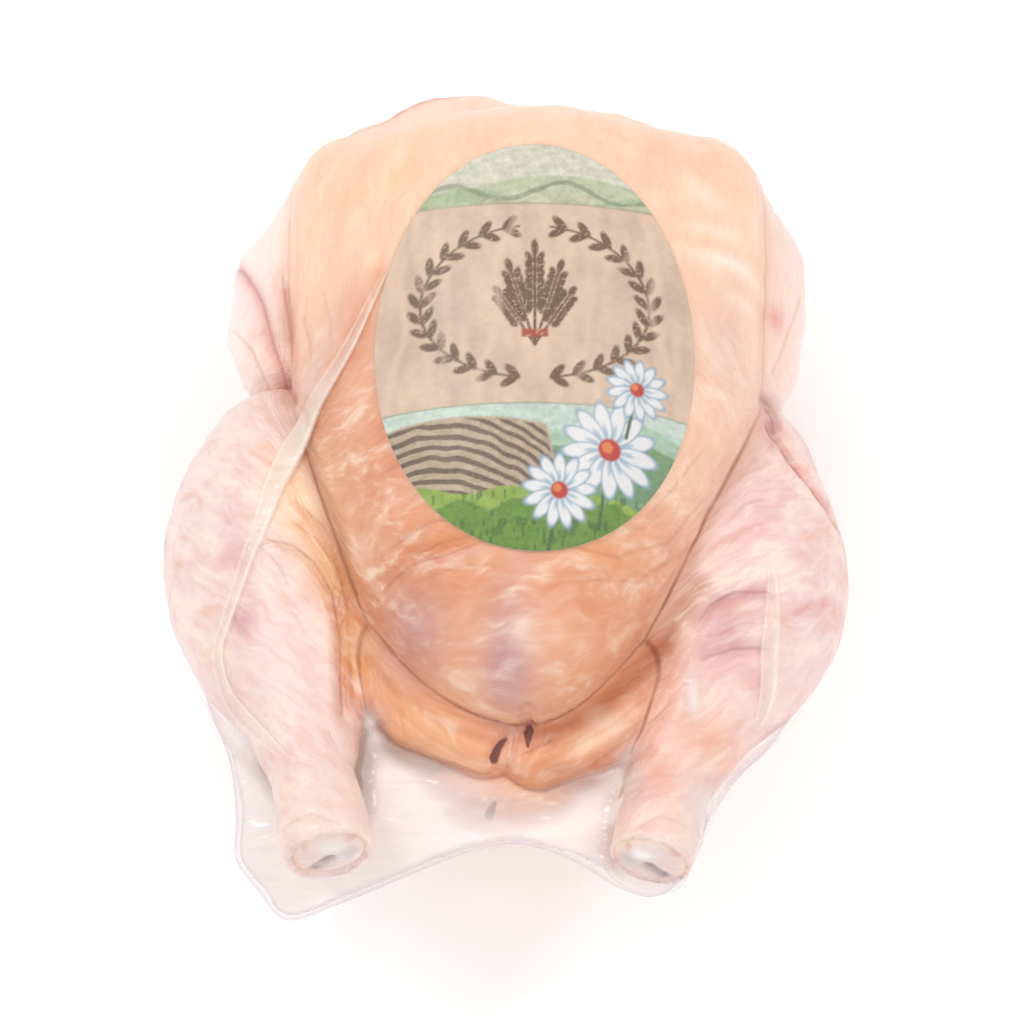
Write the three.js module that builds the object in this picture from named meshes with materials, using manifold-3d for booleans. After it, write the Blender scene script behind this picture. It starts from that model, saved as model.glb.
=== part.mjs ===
// A whole raw chicken in a tight clear bag, lying on its back, with an oval label stuck over the breast.
// Millimetres. +Z is up, +Y points from the tail to the neck, and z = 0 is the table under the back.
// The bag and the bird in it are one closed solid: it has the outer form of the film, which follows the
// breast, legs and wings, spans the hollows between them, and ends in a welded edge past the tail.
import * as THREE from 'three';
import { mergeVertices } from 'three/addons/utils/BufferGeometryUtils.js';
import Module from 'manifold-3d';

const wasm = await Module();
wasm.setup();

// Driving dimensions

const MIDLINE = 2; // x of the breastbone
const BACK = { at: [MIDLINE, 10, 35], reach: [58, 96, 40] };
const BREAST = { at: [MIDLINE, 44, 62], reach: [66, 65, 57], back: 115, blunt: 3.6, bluntBack: 1.9 };
const KEEL_LIFT = { height: 15, power: 1.6 }; // how the breast rises towards the tip of the breastbone
const SHOULDERS = { at: [MIDLINE, 80, 58], reach: [33.5, 66, 38], blunt: 4.2, yaw: 90 };
const BELLY = { at: [MIDLINE, -44, 36], reach: [46, 38, 24] };
const TAIL = { at: [-5, -80, 48], reach: [23, 15, 13] };
const NECK_FLAP = [
  [-42, 106, 66, 7],
  [-22, 112, 70, 8],
  [-10, 113, 71, 7.5],
  [12, 105.5, 64, 8],
  [38, 102, 54, 8],
];

// Points along each limb or roll of skin are [x, y, z, radius]. A leg's last point is where the foot was cut off.
const LEGS = [
  {
    thigh: { at: [-50, -8, 41], reach: [34, 48, 34] },
    calf: { at: [-65.5, -16, 50], reach: [34, 46, 32], yaw: 5 },
    knee: [[-69, 18, 50, 18.5], [-66, -10, 50, 24]],
    shank: [[-62, -46, 56, 22], [-56, -80, 65, 12], [-51.5, -101.8, 71.3, 13]],
    cut: [-51, -104.7, 72],
  },
  {
    thigh: { at: [50, -10, 41], reach: [34, 46, 34] },
    calf: { at: [57, -20, 50], reach: [35, 43, 32], yaw: -3 },
    knee: [[61.5, 15, 50, 19], [58, -14, 50, 24]],
    shank: [[53, -48, 56, 22], [41, -82, 65, 11.5], [35.4, -103.5, 71.1, 12]],
    cut: [34.4, -106.7, 72],
  },
];
const WINGS = [
  {
    upper: [[-52, 84, 60, 16], [-66, 69, 51, 16], [-71, 58.5, 44, 13], [-67, 50, 41, 12]],
    fore: [[-67, 52, 36, 12], [-67, 74, 30, 12], [-56, 88, 28, 11], [-34, 90, 26, 9]],
  },
  {
    upper: [[54, 88, 60, 16], [65.5, 75, 51, 16], [69, 63, 45, 13], [66, 49, 42, 12], [65, 38, 44, 10.5]],
    fore: [[67, 50, 36, 12], [68, 76, 30, 12], [58, 90, 28, 11], [36, 92, 26, 9]],
  },
];
const BELLY_ROLLS = [
  [[-47, -24, 60, 9], [-41, -42, 61, 11], [-27, -59, 61, 12], [-9, -68, 60, 11]],
  [[53, -20, 60, 9], [43, -42, 61, 11], [26, -61, 61, 13], [5, -71, 60, 11]],
];

// The bag past the tail: the welded edge as [x, y, z] points, from the left knee round to the right knee.
const BAG_EDGE = [
  [-91, -36, 46], [-86, -54, 46], [-80, -70, 46], [-78, -86, 46], [-78, -97, 44], [-72, -105, 41],
  [-64.5, -113, 40], [-49, -109.5, 44], [-33, -104.5, 50], [-14, -98.5, 56], [-1, -97, 59],
  [11, -101, 62], [19, -106, 64], [27, -111.5, 66], [36, -114, 67], [44, -108.5, 66], [50, -94, 62],
  [59, -78, 56], [68, -68, 52], [78, -53, 50],
];
const BAG_UPPER_SLOPE = 0.42; // rise of the upper film for each millimetre in from the edge
const BAG_LOWER_RUN = 52; // how far in from the edge the lower film would reach the table
const BAG_ROOF = 60; // the upper film's height between the legs
const BAG_FLOOR = 12; // the lower film's height where it reaches the back
const WELD = { thickness: 1.4, flare: 7, width: 11, lap: 0.6, sunk: 1.5 }; // a band lapped over the two films

// How softly one form runs into the next, in the flesh and where the film bridges the hollows
const FLESH_BLEND = { trunk: 8, roll: 3, leg: 10, cut: 3, wing: 7 };
const FILM_BLEND = { wing: 14, leg: 6, roll: 3, bag: 8 };

const LABEL = { at: [4, 27], halfWidth: 43.5, halfLength: 58, gap: 0.45, thickness: 0.7 };

const CELL = 6.3; // size of the surface's mesh
const SKIN = { color: 0xf1cdb5, roughness: 0.35, metalness: 0 };
const PAPER = { color: 0xd9bc9c, roughness: 0.55, metalness: 0 };

// Signed distance to the forms, near enough for blending. Inside is negative.

// A rounded lump, elliptical across its own Y axis, which yaw turns in plan. Its ends are blunter the larger
// blunt is, and 2 makes an ellipsoid. The end towards -Y can have a reach and a bluntness of its own.
function lump({ at, reach, back = reach[1], blunt = 2, bluntBack = blunt, yaw = 0 }) {
  const turn = THREE.MathUtils.degToRad(yaw);
  const c = Math.cos(turn);
  const s = Math.sin(turn);
  return (x, y, z) => {
    const dx = ((x - at[0]) * c + (y - at[1]) * s) / reach[0];
    const dy = (y - at[1]) * c - (x - at[0]) * s;
    const dz = (z - at[2]) / reach[2];
    const n = dy < 0 ? bluntBack : blunt;
    const along = dy < 0 ? back : reach[1];
    const across = Math.hypot(dx, dz) + 1e-9;
    const lengthways = Math.abs(dy) / along;
    const size = (across ** n + lengthways ** n) ** (1 / n) + 1e-9;
    const turnedAcross = (across / size) ** (n - 1) / across;
    const turnedLengthways = (lengthways / size) ** (n - 1);
    const slope = Math.hypot(
      (turnedAcross * dx) / reach[0],
      turnedLengthways / along,
      (turnedAcross * dz) / reach[2],
    );
    return (size - 1) / (slope + 1e-9);
  };
}

// A limb: round cones from each [x, y, z, radius] point to the next.
function limb(points) {
  return (x, y, z) => {
    let nearest = Infinity;
    for (let i = 1; i < points.length; i++) {
      const [ax, ay, az, ar] = points[i - 1];
      const [bx, by, bz, br] = points[i];
      const ux = bx - ax;
      const uy = by - ay;
      const uz = bz - az;
      const share = ((x - ax) * ux + (y - ay) * uy + (z - az) * uz) / (ux * ux + uy * uy + uz * uz);
      const t = THREE.MathUtils.clamp(share, 0, 1);
      const away = Math.hypot(x - ax - t * ux, y - ay - t * uy, z - az - t * uz);
      nearest = Math.min(nearest, away - ar - t * (br - ar));
    }
    return nearest;
  };
}

function smoothMin(a, b, k) {
  const h = Math.max(k - Math.abs(a - b), 0) / k;
  return Math.min(a, b) - (h * h * k) / 4;
}

function blend(forms, k) {
  return (x, y, z) => forms.map((form) => form(x, y, z)).reduce((a, b) => smoothMin(a, b, k));
}

function breast() {
  const egg = lump(BREAST);
  const towardsKeel = (y) => Math.max(0, (BREAST.at[1] - y) / BREAST.back);
  return (x, y, z) => egg(x, y, z - KEEL_LIFT.height * towardsKeel(y) ** KEEL_LIFT.power);
}

function leg({ thigh, calf, knee, shank, cut }) {
  const flesh = blend([lump(thigh), lump(calf), limb(knee), limb(shank)], FLESH_BLEND.leg);
  const [from, to] = shank.slice(-2).map(([x, y, z]) => new THREE.Vector3(x, y, z));
  const along = to.sub(from).normalize();
  return (x, y, z) => {
    const pastCut = (x - cut[0]) * along.x + (y - cut[1]) * along.y + (z - cut[2]) * along.z;
    return -smoothMin(-flesh(x, y, z), -pastCut, FLESH_BLEND.cut);
  };
}

function wing({ upper, fore }) {
  return blend([limb(upper), limb(fore)], FLESH_BLEND.wing);
}

// Distance from (x, y) to the line through the points, in plan.
function awayFrom(points, x, y) {
  let away = Infinity;
  for (let i = 1; i < points.length; i++) {
    const [ax, ay] = points[i - 1];
    const [bx, by] = points[i];
    const share = ((x - ax) * (bx - ax) + (y - ay) * (by - ay)) / ((bx - ax) ** 2 + (by - ay) ** 2);
    const t = THREE.MathUtils.clamp(share, 0, 1);
    away = Math.min(away, Math.hypot(x - ax - t * (bx - ax), y - ay - t * (by - ay)));
  }
  return away;
}

// Mean height of the points, those near (x, y) counting most.
function heightNear(points, x, y) {
  let sum = 0;
  let weights = 0;
  for (const [px, py, pz] of points) {
    const weight = 1 / ((px - x) ** 2 + (py - y) ** 2 + 4) ** 2;
    sum += weight * pz;
    weights += weight;
  }
  return sum / weights;
}

function insideOutline(points, x, y) {
  let inside = false;
  points.forEach(([ax, ay], i) => {
    const [bx, by] = points[(i + 1) % points.length];
    if (ay > y !== by > y && x < ax + ((y - ay) / (by - ay)) * (bx - ax)) inside = !inside;
  });
  return inside;
}

// The air-filled end of the bag, between an upper and a lower film that meet near the welded edge.
function bagEnd(edge) {
  return (x, y, z) => {
    const away = awayFrom(edge, x, y);
    const inwards = insideOutline(edge, x, y) ? away : -away;
    const height = heightNear(edge, x, y);
    const roof = Math.min(height + BAG_UPPER_SLOPE * inwards, BAG_ROOF);
    const fall = height / BAG_LOWER_RUN;
    const floor = Math.max(height - fall * inwards, BAG_FLOOR);
    const upper = (z - roof) / Math.hypot(1, BAG_UPPER_SLOPE);
    const lower = (floor - z) / Math.hypot(1, fall);
    return Math.max(upper, lower, WELD.flare - 2 - inwards);
  };
}

// A smooth line through the points, in steps of about the given length.
function smoothLine(points, step) {
  const curve = new THREE.CatmullRomCurve3(points.map((p) => new THREE.Vector3(...p)), false, 'centripetal');
  return curve.getSpacedPoints(Math.round(curve.getLength() / step)).map((p) => [p.x, p.y, p.z]);
}

const bagEdge = smoothLine(BAG_EDGE, 4);

// The film over the whole bird.
function makeFilm() {
  const trunkForms = [lump(BACK), breast(), lump(SHOULDERS), lump(BELLY), lump(TAIL), limb(NECK_FLAP)];
  const trunk = blend(trunkForms, FLESH_BLEND.trunk);
  const rolls = blend(BELLY_ROLLS.map(limb), FLESH_BLEND.roll);
  const legs = LEGS.map(leg);
  const wings = WINGS.map(wing);
  const end = bagEnd(bagEdge);
  return (x, y, z) => {
    let d = smoothMin(trunk(x, y, z), rolls(x, y, z), FILM_BLEND.roll);
    for (const form of wings) d = smoothMin(d, form(x, y, z), FILM_BLEND.wing);
    for (const form of legs) d = smoothMin(d, form(x, y, z), FILM_BLEND.leg);
    return smoothMin(d, end(x, y, z), FILM_BLEND.bag);
  };
}

const film = makeFilm();

// Meshing

function range(from, to, step) {
  const count = Math.ceil((to - from) / step);
  return Array.from({ length: count + 1 }, (_, i) => from + i * step);
}

// One vertex for each grid cell that the surface crosses, one square for each grid edge that it crosses.
function surfaceNet(field, xs, ys, zs) {
  const [nx, ny, nz] = [xs.length, ys.length, zs.length];
  const corner = (i, j, k) => (i * ny + j) * nz + k;
  const value = new Float32Array(nx * ny * nz);
  for (let i = 0; i < nx; i++)
    for (let j = 0; j < ny; j++)
      for (let k = 0; k < nz; k++) value[corner(i, j, k)] = field(xs[i], ys[j], zs[k]);

  const vertexOf = new Map();
  const points = [];
  for (let i = 0; i < nx - 1; i++)
    for (let j = 0; j < ny - 1; j++)
      for (let k = 0; k < nz - 1; k++) {
        const point = crossingCentre(value, corner, xs, ys, zs, i, j, k);
        if (point) vertexOf.set(corner(i, j, k), points.push(point) - 1);
      }

  const quads = [];
  const steps = [[1, 0, 0], [0, 1, 0], [0, 0, 1]];
  for (let i = 1; i < nx - 1; i++)
    for (let j = 1; j < ny - 1; j++)
      for (let k = 1; k < nz - 1; k++)
        steps.forEach((along, axis) => {
          const here = value[corner(i, j, k)];
          const next = value[corner(i + along[0], j + along[1], k + along[2])];
          if (here < 0 === next < 0) return;
          const u = steps[(axis + 1) % 3];
          const v = steps[(axis + 2) % 3];
          const ring = [[1, 1], [0, 1], [0, 0], [1, 0]].map(([a, b]) =>
            vertexOf.get(corner(i - a * u[0] - b * v[0], j - a * u[1] - b * v[1], k - a * u[2] - b * v[2])),
          );
          quads.push(here < 0 ? ring : ring.reverse());
        });
  return { points, quads };
}

// The mean of the places where the surface crosses a cell's twelve edges, or null if it misses the cell.
function crossingCentre(value, corner, xs, ys, zs, i, j, k) {
  const sum = [0, 0, 0];
  let count = 0;
  for (let axis = 0; axis < 3; axis++)
    for (let a = 0; a < 2; a++)
      for (let b = 0; b < 2; b++) {
        const low = [i, j, k];
        low[(axis + 1) % 3] += a;
        low[(axis + 2) % 3] += b;
        const high = [...low];
        high[axis] += 1;
        const [f, g] = [value[corner(...low)], value[corner(...high)]];
        if (f < 0 === g < 0) continue;
        const t = f / (f - g);
        [xs, ys, zs].forEach((axisAt, n) => {
          sum[n] += axisAt[low[n]] + t * (axisAt[high[n]] - axisAt[low[n]]);
        });
        count++;
      }
  return count ? sum.map((s) => s / count) : null;
}

function gradient(field, [x, y, z]) {
  const h = 0.2;
  const g = [
    field(x + h, y, z) - field(x - h, y, z),
    field(x, y + h, z) - field(x, y - h, z),
    field(x, y, z + h) - field(x, y, z - h),
  ];
  return g.map((value) => value / (2 * h));
}

function projected(field, point) {
  const g = gradient(field, point);
  const step = field(...point) / Math.max(g[0] ** 2 + g[1] ** 2 + g[2] ** 2, 0.05);
  return point.map((value, i) => value - step * g[i]);
}

// Evens out the mesh along the surface, and puts each vertex on it.
function relaxed(field, { points, quads }, rounds) {
  const near = points.map(() => new Set());
  for (const q of quads) q.forEach((v, i) => near[v].add(q[(i + 1) % 4]).add(q[(i + 3) % 4]));
  let now = points;
  for (let n = 0; n < rounds; n++)
    now = now.map((p, v) => {
      const mean = [0, 1, 2].map((i) => [...near[v]].reduce((sum, w) => sum + now[w][i], 0) / near[v].size);
      return projected(field, p.map((value, i) => (value + mean[i]) / 2));
    });
  return { points: now, quads };
}

function splitQuads(points, quads) {
  const apart = (a, b) => Math.hypot(...points[a].map((value, i) => value - points[b][i]));
  return quads.flatMap(([a, b, c, d]) => (apart(a, c) < apart(b, d) ? [a, b, c, a, c, d] : [a, b, d, b, c, d]));
}

function geometryFrom(points, index) {
  const geometry = new THREE.BufferGeometry();
  geometry.setAttribute('position', new THREE.Float32BufferAttribute(points.flat(), 3));
  geometry.setIndex(index);
  return geometry;
}

// Solids, for joining and cutting

function solidFrom(geometry) {
  const bare = geometry.clone();
  bare.deleteAttribute('normal');
  bare.deleteAttribute('uv');
  const merged = mergeVertices(bare, 1e-4);
  const triVerts = new Uint32Array(merged.index.array);
  return new wasm.Manifold(new wasm.Mesh({ numProp: 3, vertProperties: merged.attributes.position.array, triVerts }));
}

function geometryOf(solid) {
  const mesh = solid.getMesh();
  const geometry = new THREE.BufferGeometry();
  geometry.setAttribute('position', new THREE.BufferAttribute(mesh.vertProperties, 3));
  geometry.setIndex(new THREE.BufferAttribute(mesh.triVerts, 1));
  geometry.computeVertexNormals();
  return geometry;
}

// A strip: rings of corners along a line, with an end cap on each end.
function strip(rings) {
  const corners = rings[0].length;
  const last = (rings.length - 1) * corners;
  const index = [];
  for (let r = 1; r < rings.length; r++)
    for (let c = 0; c < corners; c++) {
      const [a, b] = [(r - 1) * corners + c, (r - 1) * corners + ((c + 1) % corners)];
      index.push(a, b, b + corners, a, b + corners, a + corners);
    }
  for (let c = 2; c < corners; c++) index.push(0, c, c - 1, last, last + c - 1, last + c);
  return solidFrom(geometryFrom(rings.flat(), index));
}

// Unit vector across a line in plan, near its point i, evened out round sharp corners.
function acrossPlan(line, i) {
  const reach = 4;
  const a = line[Math.max(i - reach, 0)];
  const b = line[Math.min(i + reach, line.length - 1)];
  const length = Math.hypot(b[0] - a[0], b[1] - a[1]);
  return [-(b[1] - a[1]) / length, (b[0] - a[0]) / length];
}

// The welded edge, a band that flares inwards until it laps over the upper and the lower film, and ends in them.
function weldedEdge() {
  const half = WELD.thickness / 2;
  const rings = bagEdge.map(([x, y, z], i) => {
    const [ax, ay] = acrossPlan(bagEdge, i);
    const pair = (inwards, lap) => [
      [x + ax * inwards, y + ay * inwards, z - (z / BAG_LOWER_RUN) * inwards - lap],
      [x + ax * inwards, y + ay * inwards, z + BAG_UPPER_SLOPE * inwards + lap],
    ];
    const [flareLow, flareHigh] = pair(WELD.flare, WELD.lap);
    const [endLow, endHigh] = pair(WELD.width, -WELD.sunk);
    return [[x, y, z - half], flareLow, endLow, endHigh, flareHigh, [x, y, z + half]];
  });
  return strip(rings);
}

// The film's height at (x, y), from above.
function topOf(x, y) {
  let high = 130;
  while (high > 0 && film(x, y, high) > 0) high -= 2;
  let low = high;
  high += 2;
  for (let n = 0; n < 20; n++) {
    const middle = (low + high) / 2;
    if (film(x, y, middle) > 0) high = middle;
    else low = middle;
  }
  return low;
}

function aboveTable() {
  const size = 400;
  return solidFrom(new THREE.BoxGeometry(size, size, size).translate(0, 0, size / 2));
}

function baggedChicken() {
  const net = surfaceNet(film, range(-116, 116, CELL), range(-136, 138, CELL), range(-16, 132, CELL));
  const { points, quads } = relaxed(film, net, 4);
  let solid = solidFrom(geometryFrom(points, splitQuads(points, quads)));
  solid = solid.add(weldedEdge());
  return geometryOf(solid.intersect(aboveTable()));
}

// The label, an oval of paper that lies on the film.
function label() {
  const rings = 5;
  const spokes = 40;
  const layer = (lift) => {
    const place = (x, y) => [x, y, topOf(x, y) + lift];
    const points = [place(...LABEL.at)];
    for (let r = 1; r <= rings; r++)
      for (let s = 0; s < spokes; s++) {
        const turn = (2 * Math.PI * s) / spokes;
        const x = LABEL.at[0] + (LABEL.halfWidth * r * Math.cos(turn)) / rings;
        points.push(place(x, LABEL.at[1] + (LABEL.halfLength * r * Math.sin(turn)) / rings));
      }
    return points;
  };
  const at = (r, s) => (r ? 1 + (r - 1) * spokes + (s % spokes) : 0);
  const size = 1 + rings * spokes;
  const index = [];
  for (let s = 0; s < spokes; s++) {
    index.push(0, at(1, s), at(1, s + 1), size, size + at(1, s + 1), size + at(1, s));
    for (let r = 1; r < rings; r++) {
      const [a, b, c, d] = [at(r, s), at(r + 1, s), at(r + 1, s + 1), at(r, s + 1)];
      index.push(a, b, c, a, c, d, size + a, size + c, size + b, size + a, size + d, size + c);
    }
    const [a, b] = [at(rings, s), at(rings, s + 1)];
    index.push(a, size + a, size + b, a, size + b, b);
  }
  const geometry = geometryFrom([...layer(LABEL.gap + LABEL.thickness), ...layer(LABEL.gap)], index);
  geometry.computeVertexNormals();
  return geometry;
}

function piece(name, geometry, finish) {
  const mesh = new THREE.Mesh(geometry, new THREE.MeshStandardMaterial(finish));
  mesh.name = name;
  return mesh;
}

const chicken = new THREE.Group();
chicken.add(piece('bagged_chicken', baggedChicken(), SKIN));
chicken.add(piece('label', label(), PAPER));

// The part's origin is on the table, under the middle of its outer box.
const middle = new THREE.Box3().setFromObject(chicken).getCenter(new THREE.Vector3());
chicken.position.set(-middle.x, -middle.y, 0);

export default chicken;
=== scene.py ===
# A whole raw chicken sealed in a tight clear bag, lying on its back, an oval paper label on its breast.
# Sizes are in millimetres, measured from the table under the breastbone: +Y is to the neck, +Z is up.
import math

import bpy
import numpy as np
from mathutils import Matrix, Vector


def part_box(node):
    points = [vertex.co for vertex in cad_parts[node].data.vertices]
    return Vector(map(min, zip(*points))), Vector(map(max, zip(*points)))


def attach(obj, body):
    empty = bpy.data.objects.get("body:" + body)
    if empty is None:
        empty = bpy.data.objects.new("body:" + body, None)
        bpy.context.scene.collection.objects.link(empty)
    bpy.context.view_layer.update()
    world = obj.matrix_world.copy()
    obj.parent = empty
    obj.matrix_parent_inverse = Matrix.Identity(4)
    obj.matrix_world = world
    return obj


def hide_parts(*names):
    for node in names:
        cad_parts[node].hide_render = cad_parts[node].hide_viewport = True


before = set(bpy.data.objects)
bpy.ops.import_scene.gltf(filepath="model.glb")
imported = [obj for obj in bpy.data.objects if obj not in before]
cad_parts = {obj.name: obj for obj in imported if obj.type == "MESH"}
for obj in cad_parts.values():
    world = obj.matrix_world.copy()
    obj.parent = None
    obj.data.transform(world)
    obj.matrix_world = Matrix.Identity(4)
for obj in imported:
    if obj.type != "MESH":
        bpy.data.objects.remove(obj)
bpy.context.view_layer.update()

MM = 0.001
LABEL_AT = (4, 27)
label_low, label_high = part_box("label")
BREASTBONE = np.array([(label_low[i] + label_high[i]) / 2 - LABEL_AT[i] * MM for i in range(2)] + [0])

# The view: straight over the bird from its tail end, steep enough to see the whole breast and both legs.
# A long lens from 1.4 metres away, so that the near hocks look hardly larger than the wings.
VIEW_HEIGHT = 60
VIEW_ANGLE = math.radians(70)
VIEW_DISTANCE = 1.4
FRAME_WIDTH = 0.28444
OFF_CENTRE = (-8 / 1024, -5 / 1024)

lens = bpy.data.cameras.new("camera")
lens.sensor_width = 36
lens.lens = lens.sensor_width * VIEW_DISTANCE / FRAME_WIDTH
lens.shift_x, lens.shift_y = OFF_CENTRE
lens.dof.use_dof = False
camera = bpy.data.objects.new("camera", lens)
bpy.context.scene.collection.objects.link(camera)
bpy.context.scene.camera = camera
aim = Vector(BREASTBONE) + Vector((0, 0, VIEW_HEIGHT * MM))
backwards = Vector((0, -math.cos(VIEW_ANGLE), math.sin(VIEW_ANGLE)))
camera.location = aim + backwards * VIEW_DISTANCE
camera.rotation_euler = (-backwards).to_track_quat("-Z", "Y").to_euler()

# The bird: a plucked and drawn chicken of about two kilos, its legs laid back and its feet cut off.
# Soft skin and fat over the muscles. Each muscle is a rounded lump or a limb, and they run into each
# other with a softness that leaves the creases where skin meets skin.
MIDLINE = 2
BACK = dict(at=(MIDLINE, 10, 35), reach=(58, 96, 40))
BREAST = dict(at=(MIDLINE, 44, 62), reach=(66, 65, 57), back=111.5, blunt=3.6, blunt_back=1.9)
RIGHT_TAPER = 0.42
KEEL_LIFT = dict(height=15, power=1.6)
SHOULDERS = dict(at=(MIDLINE, 80, 58), reach=(33.5, 66, 38), blunt=4.2, yaw=90)
BELLY = dict(at=(MIDLINE, -44, 36), reach=(46, 38, 24))
TAIL = dict(at=(-5, -79.5, 48), reach=(23, 12, 13))
NECK_FLAP = [
    (-42, 106, 66, 7), (-22, 112, 70, 8), (-10, 113, 71, 7.5), (12, 105.5, 64, 8), (38, 102, 54, 8),
]
LEGS = [
    dict(
        thigh=dict(at=(-50, -8, 41), reach=(34, 48, 34)),
        calf=dict(at=(-65.5, -16, 50), reach=(34, 46, 32), yaw=5),
        knee=[(-69, 18, 50, 18.5), (-66, -10, 50, 24)],
        shank=[(-62, -46, 56, 22), (-56, -80, 65, 12), (-51.5, -101.8, 71.3, 13)],
        cut=(-51, -104.7, 72),
    ),
    dict(
        thigh=dict(at=(50, -10, 41), reach=(34, 46, 34)),
        calf=dict(at=(57, -20, 50), reach=(35, 43, 32), yaw=-3),
        knee=[(61.5, 15, 50, 19), (58, -14, 50, 24)],
        shank=[(53, -48, 56, 22), (41, -82, 65, 11.5), (35.4, -103.5, 71.1, 12)],
        cut=(34.4, -106.7, 72),
    ),
]
WINGS = [
    dict(
        upper=[(-52, 84, 60, 16), (-66, 69, 51, 16), (-71, 58.5, 44, 13), (-67, 50, 41, 12)],
        fore=[(-67, 52, 36, 12), (-67, 74, 30, 12), (-56, 88, 28, 11), (-34, 90, 26, 9)],
    ),
    dict(
        upper=[(54, 88, 60, 16), (65.5, 75, 51, 16), (69, 63, 45, 13), (66, 49, 42, 12), (65, 38, 44, 10.5)],
        fore=[(67, 50, 36, 12), (68, 76, 30, 12), (58, 90, 28, 11), (36, 92, 26, 9)],
    ),
]
BELLY_ROLLS = [
    [(-47, -24, 60, 9), (-41, -42, 61, 11), (-27, -59, 61, 12), (-9, -68, 60, 11)],
    [(53, -20, 60, 9), (43, -42, 61, 11), (26, -61, 61, 13), (5, -71, 60, 11)],
]
VENTS = [
    [(-6.9, -76.0, 1.3), (-5.4, -72.8, 1.0), (-3.2, -69.4, 0.4)],
    [(1.9, -67.6, 1.5), (1.7, -72.4, 0.5)],
    [(-8.4, -88.0, 1.2), (-7.0, -85.6, 0.7)],
]
SOFTNESS = dict(limb=10, wing=7, cut=3, between_rolls=3, table=2)
SKIN_MEETINGS = dict(trunk=4, roll=2.4, shoulder=6, hip=2.6)
SKIN_UNDER_FILM = 0.5
SKIN_CELL = 1.25
SPACE = ((-104, -122, -3), (102, 128, 124))


def lump(at, reach, back=None, blunt=2.0, blunt_back=None, yaw=0.0):
    """Distance to a rounded lump, elliptical across its own Y, with ends blunter the larger blunt is."""
    back = back or reach[1]
    blunt_back = blunt_back or blunt
    c, s = math.cos(math.radians(yaw)), math.sin(math.radians(yaw))

    def distance(x, y, z):
        dx = ((x - at[0]) * c + (y - at[1]) * s) / reach[0]
        dy = (y - at[1]) * c - (x - at[0]) * s
        dz = (z - at[2]) / reach[2]
        n = np.where(dy < 0, blunt_back, blunt)
        along = np.where(dy < 0, back, reach[1])
        across = np.hypot(dx, dz) + 1e-9
        size = (across**n + (np.abs(dy) / along) ** n) ** (1 / n) + 1e-9
        turned_across = (across / size) ** (n - 1) / across
        turned_along = (np.abs(dy) / along / size) ** (n - 1) / along
        sideways = (turned_across * dx / reach[0]) ** 2 + (turned_across * dz / reach[2]) ** 2
        return (size - 1) / (np.sqrt(sideways + turned_along**2) + 1e-9)

    return distance


def limb(points):
    """Distance to round cones from each (x, y, z, radius) point to the next."""

    def distance(x, y, z):
        nearest = np.full(np.shape(x), np.inf)
        for (ax, ay, az, ar), (bx, by, bz, br) in zip(points, points[1:]):
            ux, uy, uz = bx - ax, by - ay, bz - az
            dx, dy, dz = x - ax, y - ay, z - az
            t = np.clip((dx * ux + dy * uy + dz * uz) / (ux * ux + uy * uy + uz * uz), 0, 1)
            away = np.sqrt((dx - t * ux) ** 2 + (dy - t * uy) ** 2 + (dz - t * uz) ** 2)
            nearest = np.minimum(nearest, away - ar - t * (br - ar))
        return nearest

    return distance


def soft_min(a, b, softness):
    h = np.maximum(softness - np.abs(a - b), 0) / softness
    return np.minimum(a, b) - h * h * softness / 4


def soft_max(a, b, softness):
    return -soft_min(-a, -b, softness)


egg = lump(**BREAST)


def breast(x, y, z):
    towards_keel = np.maximum(0, (BREAST["at"][1] - y) / BREAST["back"])
    tapered = x + (x - MIDLINE) * RIGHT_TAPER * towards_keel**2 * (x > MIDLINE)
    return egg(tapered, y, z - KEEL_LIFT["height"] * towards_keel ** KEEL_LIFT["power"])


def shin_way(parts):
    """The way that the end of the shin points."""
    start, end = (np.array(point[:3]) for point in parts["shank"][-2:])
    return (end - start) / np.linalg.norm(end - start)


def past_cut(parts, x, y, z):
    """How far a point is past the plane where the foot was cut off."""
    return sum((value - at) * way for value, at, way in zip((x, y, z), parts["cut"], shin_way(parts)))


def leg(parts):
    muscles = [lump(**parts["thigh"]), lump(**parts["calf"]), limb(parts["knee"]), limb(parts["shank"])]

    def distance(x, y, z):
        d = muscles[0](x, y, z)
        for muscle in muscles[1:]:
            d = soft_min(d, muscle(x, y, z), SOFTNESS["limb"])
        return soft_max(d, past_cut(parts, x, y, z), SOFTNESS["cut"])

    return distance


def wing(parts):
    upper, fore = limb(parts["upper"]), limb(parts["fore"])
    return lambda x, y, z: soft_min(upper(x, y, z), fore(x, y, z), SOFTNESS["wing"])


FORMS = {
    "back": lump(**BACK),
    "breast": breast,
    "shoulders": lump(**SHOULDERS),
    "belly": lump(**BELLY),
    "tail": lump(**TAIL),
    "neck": limb(NECK_FLAP),
    "left roll": limb(BELLY_ROLLS[0]),
    "right roll": limb(BELLY_ROLLS[1]),
    "left wing": wing(WINGS[0]),
    "right wing": wing(WINGS[1]),
    "left leg": leg(LEGS[0]),
    "right leg": leg(LEGS[1]),
}
TRUNK = ["back", "breast", "shoulders", "belly", "tail", "neck"]


def distances(x, y, z):
    return {name: form(x, y, z) for name, form in FORMS.items()}


def joined(d, trunk, roll, shoulder, hip):
    """One surface from the distances to all the forms, with the softness of each sort of meeting."""
    whole = d[TRUNK[0]]
    for name in TRUNK[1:]:
        whole = soft_min(whole, d[name], trunk)
    rolls = soft_min(d["left roll"], d["right roll"], SOFTNESS["between_rolls"])
    whole = soft_min(whole, rolls, roll)
    for name in ("left wing", "right wing"):
        whole = soft_min(whole, d[name], shoulder)
    for name in ("left leg", "right leg"):
        whole = soft_min(whole, d[name], hip)
    return whole


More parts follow.
